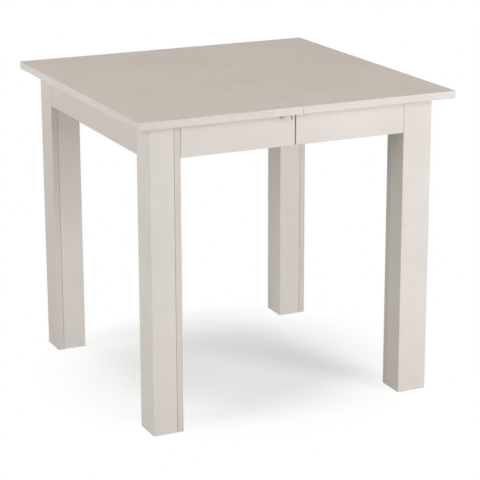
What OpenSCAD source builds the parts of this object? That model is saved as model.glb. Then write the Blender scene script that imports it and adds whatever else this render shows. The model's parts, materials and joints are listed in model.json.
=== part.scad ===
// Square dining table in pale board that opens down the middle. Each half stands on two
// hollow legs. The halves run apart on telescopic ball runners and leave room for a leaf,
// which lies folded on battens under the closed top.
// X runs along the pull, Y along the seam and Z up. The origin is on the floor, under the
// middle of the seam. The front of the table is at -Y.

/* [Top] */
// Width of the closed top, along the pull
top_w = 800; // [760:10:1000]
// Depth of the top, along the seam
top_d = 800; // [760:10:1000]
// Height of the top surface above the floor
table_h = 750; // [700:5:790]
// Thickness of the top boards and of the leaf
top_t = 18; // [16:0.5:20]
// Thickness of the edging band round each board
edge_t = 1.2; // [1:0.1:2]
// Small round on the long edges of every board
arris = 0.8; // [0.4:0.1:0.9]
// How far the top stands out past the legs
overhang = 40; // [38:1:60]
// Hairline between the closed halves
seam_gap = 0.4; // [0.2:0.1:1]
// How far the halves pull apart
extension = 400; // [300:10:420]

/* [Frame] */
// Side of a square leg
leg_s = 75; // [65:1:90]
// Thickness of the boards in the legs and aprons
board_t = 16; // [12:1:19]
// Height of the aprons
apron_h = 80; // [76:1:110]
// Gap between the front aprons of the two halves
apron_gap = 3; // [2:0.5:8]
// Hairline where a board meets its neighbour
joint_gap = 0.5; // [0.1:0.1:0.6]
// Height of the solid core in the top of a leg
core_h = 110; // [90:5:200]
// Height of the plug in the foot of a leg
plug_h = 18; // [12:1:40]
// Diameter of the glide under a foot
glide_d = 28; // [18:1:40]
// Height of the glide under the foot
glide_h = 2; // [1:0.5:6]
// Diameter of the glide's peg
glide_peg_d = 6; // [4:0.5:10]
// Length of the glide's peg
glide_peg_l = 10; // [6:1:11]

/* [Corner fixing] */
// Height of a corner plate
plate_h = 24; // [20:1:25]
// Thickness of a corner plate
plate_t = 2.5; // [1.5:0.5:3]
// Length of the plate's wing along an apron
plate_wing = 28; // [20:1:40]
// Air between the plate and the corner of the leg
plate_air = 3; // [1:0.5:5]
// Height of the plate above the bottom of the aprons
plate_lift = 4; // [2:1:5]
// Depth of the stiffening lips of a corner plate
plate_lip_w = 7; // [4:1:9]
// Distance from a corner plate's bend to its lips
plate_lip_in = 16; // [12:1:24]
// Round at the corners of a corner plate's wings
plate_round = 4; // [1:0.5:6]
// Distance between the two screws in a plate's wing
plate_screw_pitch = 14; // [10:1:16]
// Diameter of the bolt in a leg
bolt_d = 8; // [6:1:10]
// How deep the bolt sits in the leg
bolt_in = 44; // [30:1:48]
// How far the bolt stands out of the plate
bolt_out = 18; // [14:1:24]
// Width of the nut across its flats
nut_af = 13; // [11:1:17]
// Height of the nut
nut_h = 6.5; // [5:0.5:8]
// Diameter of the washer
washer_d = 18; // [17:1:22]
// Thickness of the washer
washer_t = 1.6; // [1:0.2:2]
// Diameter of a dowel
dowel_d = 8; // [6:1:8]
// Length of a dowel
dowel_l = 28; // [20:1:30]
// Height of the lower dowel above the bottom of the apron
dowel_first = 20; // [12:1:24]
// Height between the two dowels of a joint
dowel_pitch = 40; // [24:1:44]

/* [Top fixing] */
// Length of each arm of a top bracket
bracket_arm = 18; // [14:1:22]
// Width of a top bracket
bracket_w = 22; // [16:1:30]
// Thickness of a top bracket
bracket_t = 2; // [1.5:0.5:3]
// Round at the corners of a bracket's arms
bracket_round = 4; // [1:0.5:5]
// Distance of the side apron's brackets from the middle
bracket_y = 140; // [80:5:180]
// Distance of the other brackets from the seam, the near one
bracket_x = 70; // [40:5:100]
// Distance from the near bracket to the far one on a bearer
bracket_pitch = 140; // [100:5:160]

/* [Screws] */
// Diameter of a screw's shank
screw_d = 3.5; // [3:0.5:4]
// Diameter of a screw's head
screw_head_d = 7; // [6:0.5:8]
// Height of a screw's head
screw_head_h = 2; // [1.5:0.5:3]
// Length of a screw
screw_l = 13; // [10:0.5:13]
// Diameter at the point of a screw
screw_point_d = 0.6; // [0.4:0.1:1]
// Play of a screw in the metal that it holds
screw_play = 0.3; // [0.1:0.1:0.5]

/* [Seam pins] */
// Diameter of a seam pin
pin_d = 8; // [6:0.5:9]
// Length of a seam pin inside its board
pin_seat = 14; // [10:1:20]
// Length of a seam pin that stands out
pin_out = 10; // [6:1:14]
// Distance of the inner seam pins from the middle
pin_first = 120; // [60:5:140]
// Distance between the inner and the outer seam pin
pin_pitch = 180; // [120:5:200]
// Length of the taper at a seam pin's end
pin_nose = 2; // [1:0.5:3]
// Air past the end of a seam pin in its bore
pin_end_air = 2; // [1:0.5:4]

/* [Runners] */
// Height of the bearer boards that carry the runners
bearer_h = 50; // [48:1:51]
// Air between the top and the runners
rail_drop = 3; // [2:0.5:4]
// Height of a runner
rail_h = 45; // [42:0.5:46]
// Depth of a runner's outer channel
rail_depth = 11; // [10.5:0.5:13]
// Thickness of a runner's steel
rail_t = 1.8; // [1.6:0.1:2]
// Thickness of the lip at the mouth of the outer channel
lip_t = 1.5; // [1:0.1:1.6]
// Radius inside the folds of a runner's channels
fold_r = 0.6; // [0.3:0.1:0.8]
// Distance from a runner's end to the seam or the side apron
rail_end = 3; // [2:0.5:6]
// Diameter of a ball
ball_d = 4.8; // [4.4:0.1:5]
// How deep a ball race is pressed into the steel
race_depth = 0.7; // [0.4:0.1:0.9]
// Play between a ball and its races
ball_play = 0.2; // [0.1:0.05:0.3]
// Balls in one row of a cage
ball_count = 5; // [3:1:6]
// Distance from a cage's end to its first ball
cage_end = 13; // [8:1:16]
// Thickness of a ball cage
cage_t = 0.8; // [0.6:0.1:1]
// Width of a stop tab in a runner
tab_w = 10; // [6:1:16]
// Thickness of a stop tab
tab_t = 2; // [1.5:0.5:2]
// Number of screws in an outer channel
rail_screws = 4; // [3:1:6]
// Distance from an outer channel's end to its first screw
rail_screw_end = 30; // [20:1:40]
// Length of an access slot in a middle member, over the channel's screw
access_l = 16; // [12:1:18]
// Height of an access slot
access_h = 9; // [8:0.5:12]

/* [Leaf] */
// Thickness of the battens that carry the folded leaf
batten_t = 16; // [12:1:18]
// Width of a batten
batten_w = 50; // [40:1:60]
// Width of the angle that hangs a batten
hanger_w = 38; // [32:1:40]
// Length of the angle's foot on the batten
hanger_in = 24; // [18:1:30]
// How far the angle reaches above the middle of the runner
hanger_over = 9.3; // [7:0.1:12]
// Distance between the two bolts of an angle
hanger_bolt_pitch = 20; // [14:1:22]
// Distance between the two screws of an angle
hanger_screw_pitch = 24; // [16:1:26]
// Air between the folded leaf and the closed top
leaf_air = 10.7; // [9:0.1:12]
// Distance of the leaf from its seat
leaf_seat = 0.3; // [0.2:0.1:0.5]
// Diameter of the leaf hinge's knuckle
knuckle_d = 4; // [3.6:0.2:5]
// Diameter of the leaf hinge's pin
hinge_pin_d = 2; // [1.6:0.1:2.4]
// Length of a leaf hinge
hinge_l = 60; // [40:2:80]
// Width of a hinge wing
hinge_wing = 24; // [16:1:30]
// Thickness of a hinge wing
hinge_t = 1.2; // [0.8:0.1:1.5]
// Round at the corners of a hinge wing
hinge_round = 3; // [1:0.5:4]
// Distance of the leaf hinges from the leaf's middle
hinge_x = 130; // [80:5:150]
// Number of screws in a hinge wing
hinge_screws = 3; // [2:1:4]
// Height of the corner stops that locate the leaf
stop_h = 8; // [5:1:12]
// Arm length of a corner stop
stop_arm = 26; // [16:1:36]
// Thickness of a corner stop's wall
stop_t = 5; // [4:0.5:7]
// Round at the outer corners of a corner stop
stop_round = 1.8; // [0.5:0.1:1.9]
// Length of the peg under a corner stop
stop_peg_l = 8; // [5:1:10]

/* [Seam catches] */
// Distance of a catch's pivot from the seam
catch_x = 46; // [40:1:52]
// Distance of the pivot from the edge of the top
catch_in = 16; // [15:0.5:17]
// Length of the catch from its pivot to its hook
catch_l = 60; // [56:1:64]
// Width of the catch
catch_w = 11; // [10:0.5:13]
// Thickness of the catch
catch_t = 2; // [1.5:0.5:3]
// Turn of the catch from open to hooked, in degrees
catch_turn = 16; // [14:0.5:16]
// Diameter of the shoulder of the pivot screw
pivot_d = 6; // [5:0.5:7]
// Diameter of the pivot screw's head
pivot_head_d = 12.6; // [10:0.2:14]
// Height of the pivot screw's head
pivot_head_h = 4; // [3:0.5:6]
// Air above the catch, filled by a washer at the pivot
catch_drop = 1.5; // [1.5:0.5:3]
// Diameter of the catch's finger pin
finger_d = 6.4; // [5:0.2:8]
// Length of the finger pin
finger_l = 10; // [8:1:14]
// Distance of the finger pin from the pivot
finger_x = 26; // [20:1:34]
// Diameter of the stud that the catch hooks round
stud_d = 5; // [4:0.5:6]
// Diameter of the stud's head
stud_head_d = 9; // [7:0.5:10]
// Height of the stud's head
stud_head_h = 1.5; // [1:0.1:2]
// How far the stud stands out below the catch
stud_drop = 1.5; // [1:0.1:2]
// How deep the pivot screws and studs sit in the top
catch_seat = 10; // [7:0.5:12]
// Air above and below a catch at its pivot
catch_play = 0.3; // [0.1:0.1:0.5]

/* [Fits] */
// Radial play of a part that turns on a pin
turn_play = 0.06; // [0.03:0.01:0.1]
// Radial play of a part that slides out of a bore
slide_play = 0.1; // [0.05:0.01:0.1]
// Radial play of a pin, dowel or screw that is glued or driven in
seat_play = 0.05; // [0.02:0.01:0.1]

/* [Hidden] */
$fn = 40;
SIDES = ["left", "right"];

// How far a cut runs past the faces that it opens
over = 1;

// Colours of the finishes
board_colour = [0.84, 0.80, 0.77];
edging_colour = [0.88, 0.85, 0.82];
core_colour = [0.76, 0.66, 0.52];
timber_colour = [0.83, 0.70, 0.52];
zinc_colour = [0.70, 0.71, 0.72];
runner_colour = [0.58, 0.59, 0.61];
nylon_colour = [0.93, 0.93, 0.91];
catch_colour = [0.60, 0.59, 0.57];

// Heights
under = table_h - top_t;
apron_bottom = under - apron_h;
pin_z = table_h - top_t / 2;
plate_z = apron_bottom + plate_lift;
bolt_z = plate_z + plate_h / 2;
dowel_zs = [apron_bottom + dowel_first, apron_bottom + dowel_first + dowel_pitch];
rail_z = under - rail_drop - rail_h / 2;

// Plan of the frame, for the half at +X and the back at +Y
frame_x = top_w / 2 - overhang;
frame_y = top_d / 2 - overhang;
inner_x = frame_x - board_t;
inner_y = frame_y - board_t;
leg_x = frame_x - leg_s / 2;
leg_y = frame_y - leg_s / 2;
leg_face_x = frame_x - leg_s;
leg_face_y = frame_y - leg_s;
leg_hollow = leg_s - 2 * board_t;
leg_top_h = under - glide_h;

// Corner plate, in plan from the corner where the aprons' inner faces would meet
plate_reach = 2 * (leg_s - board_t) + plate_air * sqrt(2);
plate_bend = plate_t * (sqrt(2) - 1);

// Air inside a runner: behind the cage, beside the balls, behind and beside the middle member,
// past its stop tabs, and between the cage and the lip of the channel
cage_back_air = 0.4;
ball_back_air = 0.5;
middle_back_air = 0.6;
middle_side_air = 0.7;
mouth_air = 0.5;
stop_air = 0.5;
cage_lip_air = 0.3;
// How far the stop tabs keep from the mouth of the channel and reach behind the ball row
tab_short = 2;
tab_behind = 1;

// Runners: the bearer stands against the inner faces of the legs
bearer_in = leg_face_y - joint_gap - board_t;
rail_x0 = rail_end;
rail_x1 = inner_x - rail_end;
middle_half = rail_x1 - rail_end;
travel = extension / 2;
ball_r = ball_d / 2;
ball_w = rail_h / 2 - rail_t + race_depth - ball_r - ball_play;
middle_w = ball_w - ball_r - ball_play + race_depth;
race_r = ball_r + ball_play;
cage_back = rail_t + cage_back_air;
ball_u = cage_back + cage_t + ball_r + ball_back_air;
middle_u0 = cage_back + cage_t + middle_back_air;
middle_u1 = rail_depth + mouth_air + rail_t;
lip_w = middle_w + middle_side_air;
cage_margin = tab_t + stop_air;
cage_x0 = rail_x0 + travel / 2 + cage_margin;
cage_l = middle_half - rail_x0 - travel - 2 * cage_margin;
cage_flat_u = rail_depth - lip_t - cage_lip_air;
ball_pitch = (cage_l - 2 * cage_end) / (ball_count - 1);
tab_deep = rail_depth - tab_short;
tab_back = ball_u - tab_behind;

// Screws of an outer channel along X
rail_screw_step = (rail_x1 - rail_x0 - 2 * rail_screw_end) / (rail_screws - 1);
rail_screw_xs = [for (i = [0 : rail_screws - 1]) rail_x0 + rail_screw_end + i * rail_screw_step];

// Leaf: two panels folded underside to underside, hinged along X
fold_gap = knuckle_d;
stack_h = 2 * top_t + fold_gap;
leaf_z = under - leaf_air - stack_h;
batten_z = leaf_z - leaf_seat - batten_t;
leaf_half_w = (extension - seam_gap) / 2;
panel_d = (top_d - joint_gap) / 2;
fold_y = panel_d / 2;
fold_z = leaf_z + top_t + fold_gap / 2;
knuckles = 5;
knuckle_air = 0.3;
batten_end_air = 0.7;
stop_margin = 1;
batten_end = bearer_in - middle_u1 - bracket_t - batten_end_air;
batten_x = leaf_half_w + stop_t + stop_margin - batten_w / 2;

// Catches
catch_y = top_d / 2 - catch_in;
catch_z = under - catch_drop - catch_t;
stud_x = -catch_x + catch_l * cos(catch_turn);
stud_y = catch_y - catch_l * sin(catch_turn);
hook_play = 0.6;

// General shapes

// Moves what is drawn for the half at +X to the other half where side is negative
module on_side(side) {
    mirror([side < 0 ? 1 : 0, 0, 0]) children();
}

// Draws what is drawn for the back at the front as well
module front_and_back() {
    children();
    mirror([0, 1, 0]) children();
}

// Extrudes an outline of Y and Z along X
module along_x(x0, length) {
    translate([x0, 0, 0]) rotate([90, 0, 90]) linear_extrude(length) children();
}

// Extrudes an outline of X and Z along Y, from y0 towards the back
module along_y(y0, length) {
    translate([0, y0 + length, 0]) rotate([90, 0, 0]) linear_extrude(length) children();
}

// Points of one rounded corner about the centre c, from the angle given
function corner_arc(c, r, from) =
    [for (a = [0 : 30 : 90]) [c[0] + r * cos(from + a), c[1] + r * sin(from + a)]];

// Rectangle with small rounds at its corners
module soft_rect(w, h, r) {
    polygon(concat(
        corner_arc([w / 2 - r, h / 2 - r], r, 0),
        corner_arc([r - w / 2, h / 2 - r], r, 90),
        corner_arc([r - w / 2, r - h / 2], r, 180),
        corner_arc([w / 2 - r, r - h / 2], r, 270)
    ));
}

// Vector of length 1
function unit(v) = v / norm(v);

// Points of the round at the corner b of an outline that comes from a and goes on to c
function soft_corner(a, b, c, r) =
    let (to_a = unit(a - b), to_c = unit(c - b), half = acos(to_a * to_c) / 2,
        reach = r / tan(half), centre = b + unit(to_a + to_c) * r / sin(half),
        from_centre = b + to_a * reach - centre, sweep = to_c * reach - to_a * reach)
    [for (i = [0 : 4]) centre + r * unit(from_centre + sweep * i / 4)];

// Outline whose corners are [x, y, r], each with the round r, or sharp where r is 0
module soft_outline(corners) {
    n = len(corners);
    spots = [for (c = corners) [c[0], c[1]]];
    polygon([for (i = [0 : n - 1])
        each corners[i][2] > 0
            ? soft_corner(spots[(i + n - 1) % n], spots[i], spots[(i + 1) % n], corners[i][2])
            : [spots[i]]]);
}

// Strip of sheet about the Y axis, square at the near end and rounded at the far one
module rounded_end(w, near, far, r) {
    soft_outline([[w / 2, near, 0], [w / 2, far, r], [-w / 2, far, r], [-w / 2, near, 0]]);
}

// Sheet bent to an angle: a foot along Y and a wall along Z, from the corner at the origin
module bent_angle(w, foot, rise, t, r) {
    bend_r = 2 * t;
    linear_extrude(t) rounded_end(w, bend_r, foot, r);
    translate([0, t, 0]) rotate([90, 0, 0]) linear_extrude(t) rounded_end(w, bend_r, rise, r);
    along_x(-w / 2, w) intersection() {
        square(bend_r);
        translate([bend_r, bend_r]) difference() {
            circle(bend_r);
            circle(bend_r - t);
        }
    }
}

// Board between two corners, with a small round on every edge
module board(low, high, r = arris) {
    size = high - low;
    translate((low + high) / 2) intersection() {
        linear_extrude(size[2], center = true) soft_rect(size[0], size[1], r);
        along_y(-size[1] / 2, size[1]) soft_rect(size[0], size[2], r);
        along_x(-size[0] / 2, size[0]) soft_rect(size[1], size[2], r);
    }
}

// Plain block between two corners
module block(low, high) {
    translate(low) cube(high - low);
}

// Screws

// Screw that points down from the face at z = 0, its head above the face
module screw(play = 0) {
    tip = screw_d;
    shank = screw_l - tip;
    crown_d = screw_head_d * 0.6;
    translate([0, 0, -shank - play]) cylinder(h = shank + play, d = screw_d + 2 * play);
    translate([0, 0, -screw_l - play]) cylinder(h = tip, d1 = screw_point_d, d2 = screw_d + 2 * play);
    if (play == 0) cylinder(h = screw_head_h, d1 = screw_head_d, d2 = crown_d);
}

// Screw whose cone sits in a sheet of steel, flush with the face at z = 0
module flush_screw(sheet, play = 0) {
    screw_r = screw_d / 2 + play;
    translate([0, 0, -screw_l]) cylinder(h = screw_l, r = screw_r);
    translate([0, 0, -sheet]) cylinder(h = sheet, r1 = screw_r, r2 = screw_head_d / 2 + play);
}

// Screws of the outer rails, through the web into the bearer
module rail_screw_set(play = 0) {
    front_and_back()
        for (x = rail_screw_xs)
            translate([x, bearer_in - rail_t, rail_z]) rotate([90, 0, 0]) flush_screw(rail_t, play);
}

// Screws of the corner plates, into the aprons
module plate_screw_set(play = 0) {
    mid = plate_reach + plate_bend + plate_wing / 2;
    for (shift = [-plate_screw_pitch / 2, plate_screw_pitch / 2]) {
        front_and_back() {
            translate([inner_x - mid - shift, inner_y - plate_t, bolt_z])
                rotate([90, 0, 0]) screw(play);
            translate([inner_x - plate_t, inner_y - mid - shift, bolt_z])
                rotate([0, -90, 0]) screw(play);
        }
    }
}

// Places of the top brackets: a point on the board's face and the turn about Z
bracket_places = concat(
    [for (y = [-bracket_y, bracket_y]) [[inner_x, y], 90]],
    [for (s = [-1, 1]) [[bracket_x, s * inner_y], s > 0 ? 180 : 0]],
    [for (s = [-1, 1], i = [0, 1])
        [[bracket_x + i * bracket_pitch, s * (leg_face_y - joint_gap)], s > 0 ? 0 : 180]]
);

// Puts children at each top bracket, with Y pointing away from the board's face
module at_brackets() {
    for (place = bracket_places)
        translate([place[0][0], place[0][1], under]) rotate([0, 0, place[1]]) children();
}

// Screws of the top brackets, one into the board and one into the top
module bracket_screw_set(play = 0) {
    reach = bracket_arm * 0.6;
    at_brackets() {
        translate([0, bracket_t, -reach]) rotate([-90, 0, 0]) screw(play);
        translate([0, reach, -bracket_t]) rotate([180, 0, 0]) screw(play);
    }
}

// Bores for the shanks of all wood screws of a half
module screw_bores() {
    rail_screw_set(seat_play);
    plate_screw_set(seat_play);
    bracket_screw_set(seat_play);
}

// Dowels between the aprons and the legs
module dowel_set(play = 0) {
    length = dowel_l + 2 * play;
    width = dowel_d + 2 * play;
    for (z = dowel_zs) {
        front_and_back() {
            translate([leg_face_x - joint_gap / 2, frame_y - board_t / 2, z])
                rotate([0, 90, 0]) cylinder(h = length, d = width, center = true);
            translate([frame_x - board_t / 2, leg_face_y - joint_gap / 2, z])
                rotate([90, 0, 0]) cylinder(h = length, d = width, center = true);
        }
    }
}

// Top

// Half top over all, shrunk on its four edges by the amount given
module half_top(shrink) {
    low = [seam_gap / 2 + shrink, shrink - top_d / 2, under];
    high = [top_w / 2 - shrink, top_d / 2 - shrink, table_h];
    if (shrink > 0) block(low, high);
    else board(low, high);
}

// Places of the seam pins along Y
pin_ys = [for (s = [-1, 1], i = [0, 1]) s * (pin_first + i * pin_pitch)];

// Pins that stand out of the seam edge at x, towards +X
module pin_row(x, ys, z, play = 0) {
    width = pin_d + 2 * play;
    for (y = ys)
        translate([x, y, z]) rotate([0, 90, 0]) {
            translate([0, 0, -pin_seat - play])
                cylinder(h = pin_seat + pin_out - pin_nose + play, d = width);
            translate([0, 0, pin_out - pin_nose])
                cylinder(h = pin_nose + play, d1 = width, d2 = width - pin_nose);
        }
}

// Blind bores for the pins that come across the seam at x
module pin_bores(x, ys, z) {
    for (y = ys)
        translate([x - over, y, z]) rotate([0, 90, 0])
            cylinder(h = pin_out + pin_end_air + over, r = pin_d / 2 + slide_play);
}

// Cuts both ends of the seam pins from the half on the side given
module cut_seam(side) {
    difference() {
        children();
        if (side < 0) pin_row(-seam_gap / 2, pin_ys, pin_z, seat_play);
        else pin_bores(seam_gap / 2, pin_ys, pin_z);
    }
}

module top_board(side) {
    color(board_colour) cut_seam(side) difference() {
        on_side(side) half_top(edge_t);
        on_side(side) bracket_screw_set(seat_play);
        if (side < 0) pivot_screws(seat_play);
        else stud_set(seat_play);
    }
}

module top_edging(side) {
    color(edging_colour) cut_seam(side) on_side(side) difference() {
        half_top(0);
        half_top(edge_t);
    }
}

// Aprons

module side_apron(side) {
    reach = leg_face_y - joint_gap;
    color(board_colour) on_side(side) difference() {
        board([inner_x, -reach, apron_bottom], [frame_x, reach, under]);
        dowel_set(seat_play);
        plate_screw_set(seat_play);
        bracket_screw_set(seat_play);
    }
}

// Apron of the back for facing = 1, of the front for facing = -1
module long_apron(side, facing) {
    color(board_colour) on_side(side) mirror([0, facing < 0 ? 1 : 0, 0]) difference() {
        board([apron_gap / 2, inner_y, apron_bottom], [leg_face_x - joint_gap, frame_y, under]);
        dowel_set(seat_play);
        plate_screw_set(seat_play);
        bracket_screw_set(seat_play);
    }
}

// Legs

// Plan angle of a leg: its cover board looks along +X at 0
function leg_turn(side, facing) =
    side < 0 ? (facing < 0 ? 0 : 180) : (facing < 0 ? 90 : 0);

// Puts a leg drawn about the Z axis at its corner, with the cuts that its corner needs
module leg_at(side, facing) {
    difference() {
        translate([side * leg_x, facing * leg_y, glide_h])
            rotate([0, 0, leg_turn(side, facing)]) children();
        on_side(side) mirror([0, facing < 0 ? 1 : 0, 0]) {
            dowel_set(seat_play);
            corner_bolt(seat_play);
        }
    }
}

// Three walls folded from one board, with a soft edge where the cover meets them
module leg_channel(side, facing) {
    half = leg_s / 2;
    seam = half - board_t - joint_gap / 2;
    hollow = leg_hollow / 2;
    color(board_colour) leg_at(side, facing) difference() {
        board([-half, -half, 0], [seam, half, leg_top_h]);
        block([-hollow, -hollow, -over], [half, hollow, leg_top_h + over]);
    }
}

// Fourth wall, which closes the fold
module leg_cover(side, facing) {
    half = leg_s / 2;
    seam = half - board_t + joint_gap / 2;
    color(board_colour) leg_at(side, facing) board([seam, -half, 0], [half, half, leg_top_h]);
}

// Solid block in the hollow of the legs of a half, between two heights
module leg_fill(side, low, high) {
    half = leg_hollow / 2 - joint_gap / 2;
    for (facing = [-1, 1])
        translate([side * leg_x, facing * leg_y, 0])
            block([-half, -half, low], [half, half, high]);
}

module leg_cores(side) {
    color(core_colour) difference() {
        leg_fill(side, under - core_h, under);
        on_side(side) front_and_back() corner_bolt(seat_play);
    }
}

module foot_plugs(side) {
    color(core_colour) difference() {
        leg_fill(side, glide_h, glide_h + plug_h);
        glide_set(side, seat_play);
    }
}

// Glides of a half: a disc under the foot and a peg in the plug
module glide_set(side, play = 0) {
    for (facing = [-1, 1])
        translate([side * leg_x, facing * leg_y, 0]) {
            if (play == 0) cylinder(h = glide_h / 2, d1 = glide_d - glide_h, d2 = glide_d);
            if (play == 0) translate([0, 0, glide_h / 2]) cylinder(h = glide_h / 2, d = glide_d);
            cylinder(h = glide_h + glide_peg_l + play, d = glide_peg_d + 2 * play);
        }
}

module glides(side) {
    color(nylon_colour) glide_set(side);
}

module dowels(side) {
    color(timber_colour) on_side(side) dowel_set();
}

// Corner fixing

// Moves to the corner of the aprons' inner faces at the back, with X and Y running inward
module at_corner() {
    translate([inner_x, inner_y, 0]) rotate([0, 0, 180]) children();
}

// Bolt across the corner of a leg, on the diagonal
module corner_bolt(play = 0) {
    start = plate_reach / sqrt(2) - plate_air - bolt_in;
    length = bolt_in + plate_air + plate_t + bolt_out + play;
    at_corner() rotate([0, 0, 45]) translate([start, 0, bolt_z])
        rotate([0, 90, 0]) cylinder(h = length, d = bolt_d + 2 * play);
}

// Outline of a corner plate: two wings along the aprons and a span across the corner
module plate_outline() {
    far = plate_reach + plate_wing;
    bend = plate_reach + plate_bend;
    outer_r = 2 * plate_t;
    soft_outline([[far, 0, 0], [plate_reach, 0, outer_r], [0, plate_reach, outer_r], [0, far, 0],
        [plate_t, far, 0], [plate_t, bend, plate_t], [bend, plate_t, plate_t], [far, plate_t, 0]]);
}

// Side view of a corner plate along one wing, which rounds that wing's end
module plate_side() {
    far = plate_reach + plate_wing;
    translate([0, plate_h / 2]) rotate(-90) rounded_end(plate_h, -over, far, plate_round);
}

// Corner plate without its lips
module plate_strip() {
    depth = plate_reach + plate_wing + 2 * over;
    intersection() {
        linear_extrude(plate_h) plate_outline();
        along_y(-over, depth) plate_side();
        along_x(-over, depth) plate_side();
    }
}

// Stiffening lip along the span of a corner plate
module plate_lip() {
    far = plate_reach + plate_bend - plate_lip_in;
    near = plate_t + plate_lip_in;
    sink = plate_t / 2;
    soft_outline([[far, near - sink, 0], [near - sink, far, 0],
        [near + plate_lip_w, far, plate_lip_w / 3], [far, near + plate_lip_w, plate_lip_w / 3]]);
}

module corner_plates(side) {
    color(zinc_colour) on_side(side) difference() {
        front_and_back() at_corner() {
            translate([0, 0, plate_z]) plate_strip();
            translate([0, 0, plate_z]) linear_extrude(plate_t) plate_lip();
            translate([0, 0, plate_z + plate_h - plate_t]) linear_extrude(plate_t) plate_lip();
        }
        front_and_back() corner_bolt(screw_play);
        plate_screw_set(screw_play);
    }
}

module corner_bolts(side) {
    color(zinc_colour) on_side(side) front_and_back() corner_bolt();
}

module corner_nuts(side) {
    face = plate_reach / sqrt(2) + plate_t;
    color(zinc_colour) on_side(side) front_and_back() at_corner()
        rotate([0, 0, 45]) translate([face, 0, bolt_z]) rotate([0, 90, 0]) difference() {
            union() {
                cylinder(h = washer_t, d = washer_d);
                cylinder(h = washer_t + nut_h, d = nut_af / cos(30), $fn = 6);
            }
            translate([0, 0, -over])
                cylinder(h = washer_t + nut_h + 2 * over, d = bolt_d + 2 * seat_play);
        }
}

// Top fixing

module top_brackets(side) {
    color(zinc_colour) on_side(side) difference() {
        at_brackets()
            mirror([0, 0, 1]) bent_angle(bracket_w, bracket_arm, bracket_arm, bracket_t, bracket_round);
        bracket_screw_set(screw_play);
    }
}

module wood_screws(side) {
    color(zinc_colour) on_side(side) {
        rail_screw_set();
        plate_screw_set();
        bracket_screw_set();
    }
}

// Runners

module bearers(side) {
    color(timber_colour) on_side(side) difference() {
        front_and_back()
            board([apron_gap / 2, bearer_in, under - bearer_h],
                [inner_x - joint_gap, bearer_in + board_t, under]);
        screw_bores();
    }
}

// Places an outline of u and w: u runs inward from the bearer, w up from the runner's middle
module runner_plane() {
    translate([bearer_in, rail_z]) mirror([1, 0]) children();
}

// Circles at the two ball rows
module ball_rows(r) {
    for (w = [-ball_w, ball_w]) translate([ball_u, w]) circle(r);
}

module outer_outline() {
    inner_h = rail_h - 2 * rail_t;
    inner_d = rail_depth - rail_t - lip_t;
    difference() {
        translate([rail_depth / 2, 0]) soft_rect(rail_depth, rail_h, fold_r + lip_t);
        translate([rail_t + inner_d / 2, 0]) soft_rect(inner_d, inner_h, fold_r);
        translate([rail_t, -lip_w]) square([rail_depth, 2 * lip_w]);
        ball_rows(race_r);
    }
}

module middle_outline() {
    bend_r = fold_r + rail_t;
    inner_u = middle_u1 - rail_t;
    inner_w = middle_w - rail_t;
    difference() {
        soft_outline([[middle_u0, -middle_w, 0], [middle_u1, -middle_w, bend_r],
            [middle_u1, middle_w, bend_r], [middle_u0, middle_w, 0]]);
        soft_outline([[middle_u0 - over, -inner_w, 0], [inner_u, -inner_w, fold_r],
            [inner_u, inner_w, fold_r], [middle_u0 - over, inner_w, 0]]);
        ball_rows(race_r);
    }
}

// Slots in the middle members, through which a driver reaches the channels' screws
module access_slots() {
    end_r = access_h / 2;
    shift = access_l / 2 - end_r;
    for (side = [-1, 1], x = rail_screw_xs)
        translate([side * x, bearer_in - middle_u1 + rail_t + over, rail_z]) rotate([90, 0, 0])
            linear_extrude(rail_t + 2 * over) {
                square([2 * shift, access_h], center = true);
                translate([-shift, 0]) circle(end_r);
                translate([shift, 0]) circle(end_r);
            }
}

module cage_outline() {
    top = ball_w + cage_t / 2;
    difference() {
        translate([cage_back, -top]) square([cage_flat_u - cage_back, 2 * top]);
        translate([cage_back + cage_t, cage_t - top])
            square([cage_flat_u, 2 * (top - cage_t)]);
    }
}

// Outer channels of a half, each with a stop tab at the seam end of its web
module outer_rails(side) {
    color(runner_colour) on_side(side) difference() {
        front_and_back() {
            along_x(rail_x0, rail_x1 - rail_x0) runner_plane() outer_outline();
            along_x(rail_x0, tab_t) runner_plane()
                translate([rail_t / 2, -tab_w / 2]) square([tab_deep - rail_t / 2, tab_w]);
        }
        rail_screw_set(screw_play);
    }
}

// Middle member, with a stop tab on each side that meets the tab of the outer channel
module middle_rail(facing) {
    tab_x = rail_x0 + tab_t + travel + stop_air;
    color(runner_colour) mirror([0, facing < 0 ? 1 : 0, 0]) difference() {
        union() {
            along_x(-middle_half, 2 * middle_half) runner_plane() middle_outline();
            for (side = [-1, 1]) on_side(side) along_x(tab_x, tab_t) runner_plane()
                translate([tab_back, -tab_w / 2])
                    square([middle_u1 - rail_t / 2 - tab_back, tab_w]);
        }
        hanger_bolts(screw_play);
        access_slots();
    }
}

// Places of the balls along the right cage
ball_xs = [for (i = [0 : ball_count - 1])
    cage_x0 + cage_l / 2 + (i - (ball_count - 1) / 2) * ball_pitch];

module ball_cages(side) {
    color(runner_colour) on_side(side) front_and_back() difference() {
        along_x(cage_x0, cage_l) runner_plane() cage_outline();
        for (x = ball_xs, w = [-ball_w, ball_w])
            translate([x, bearer_in - ball_u, rail_z + w])
                cylinder(h = 4 * cage_t, r = ball_r + ball_play / 2, center = true);
    }
}

module balls(side) {
    color(zinc_colour) on_side(side) front_and_back()
        for (x = ball_xs, w = [-ball_w, ball_w])
            translate([x, bearer_in - ball_u, rail_z + w]) sphere(ball_r);
}

// Leaf carrier

// Puts children at the four ends of the battens
module at_batten_ends() {
    for (x = [-batten_x, batten_x]) translate([x, 0, 0]) front_and_back() children();
}

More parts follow.
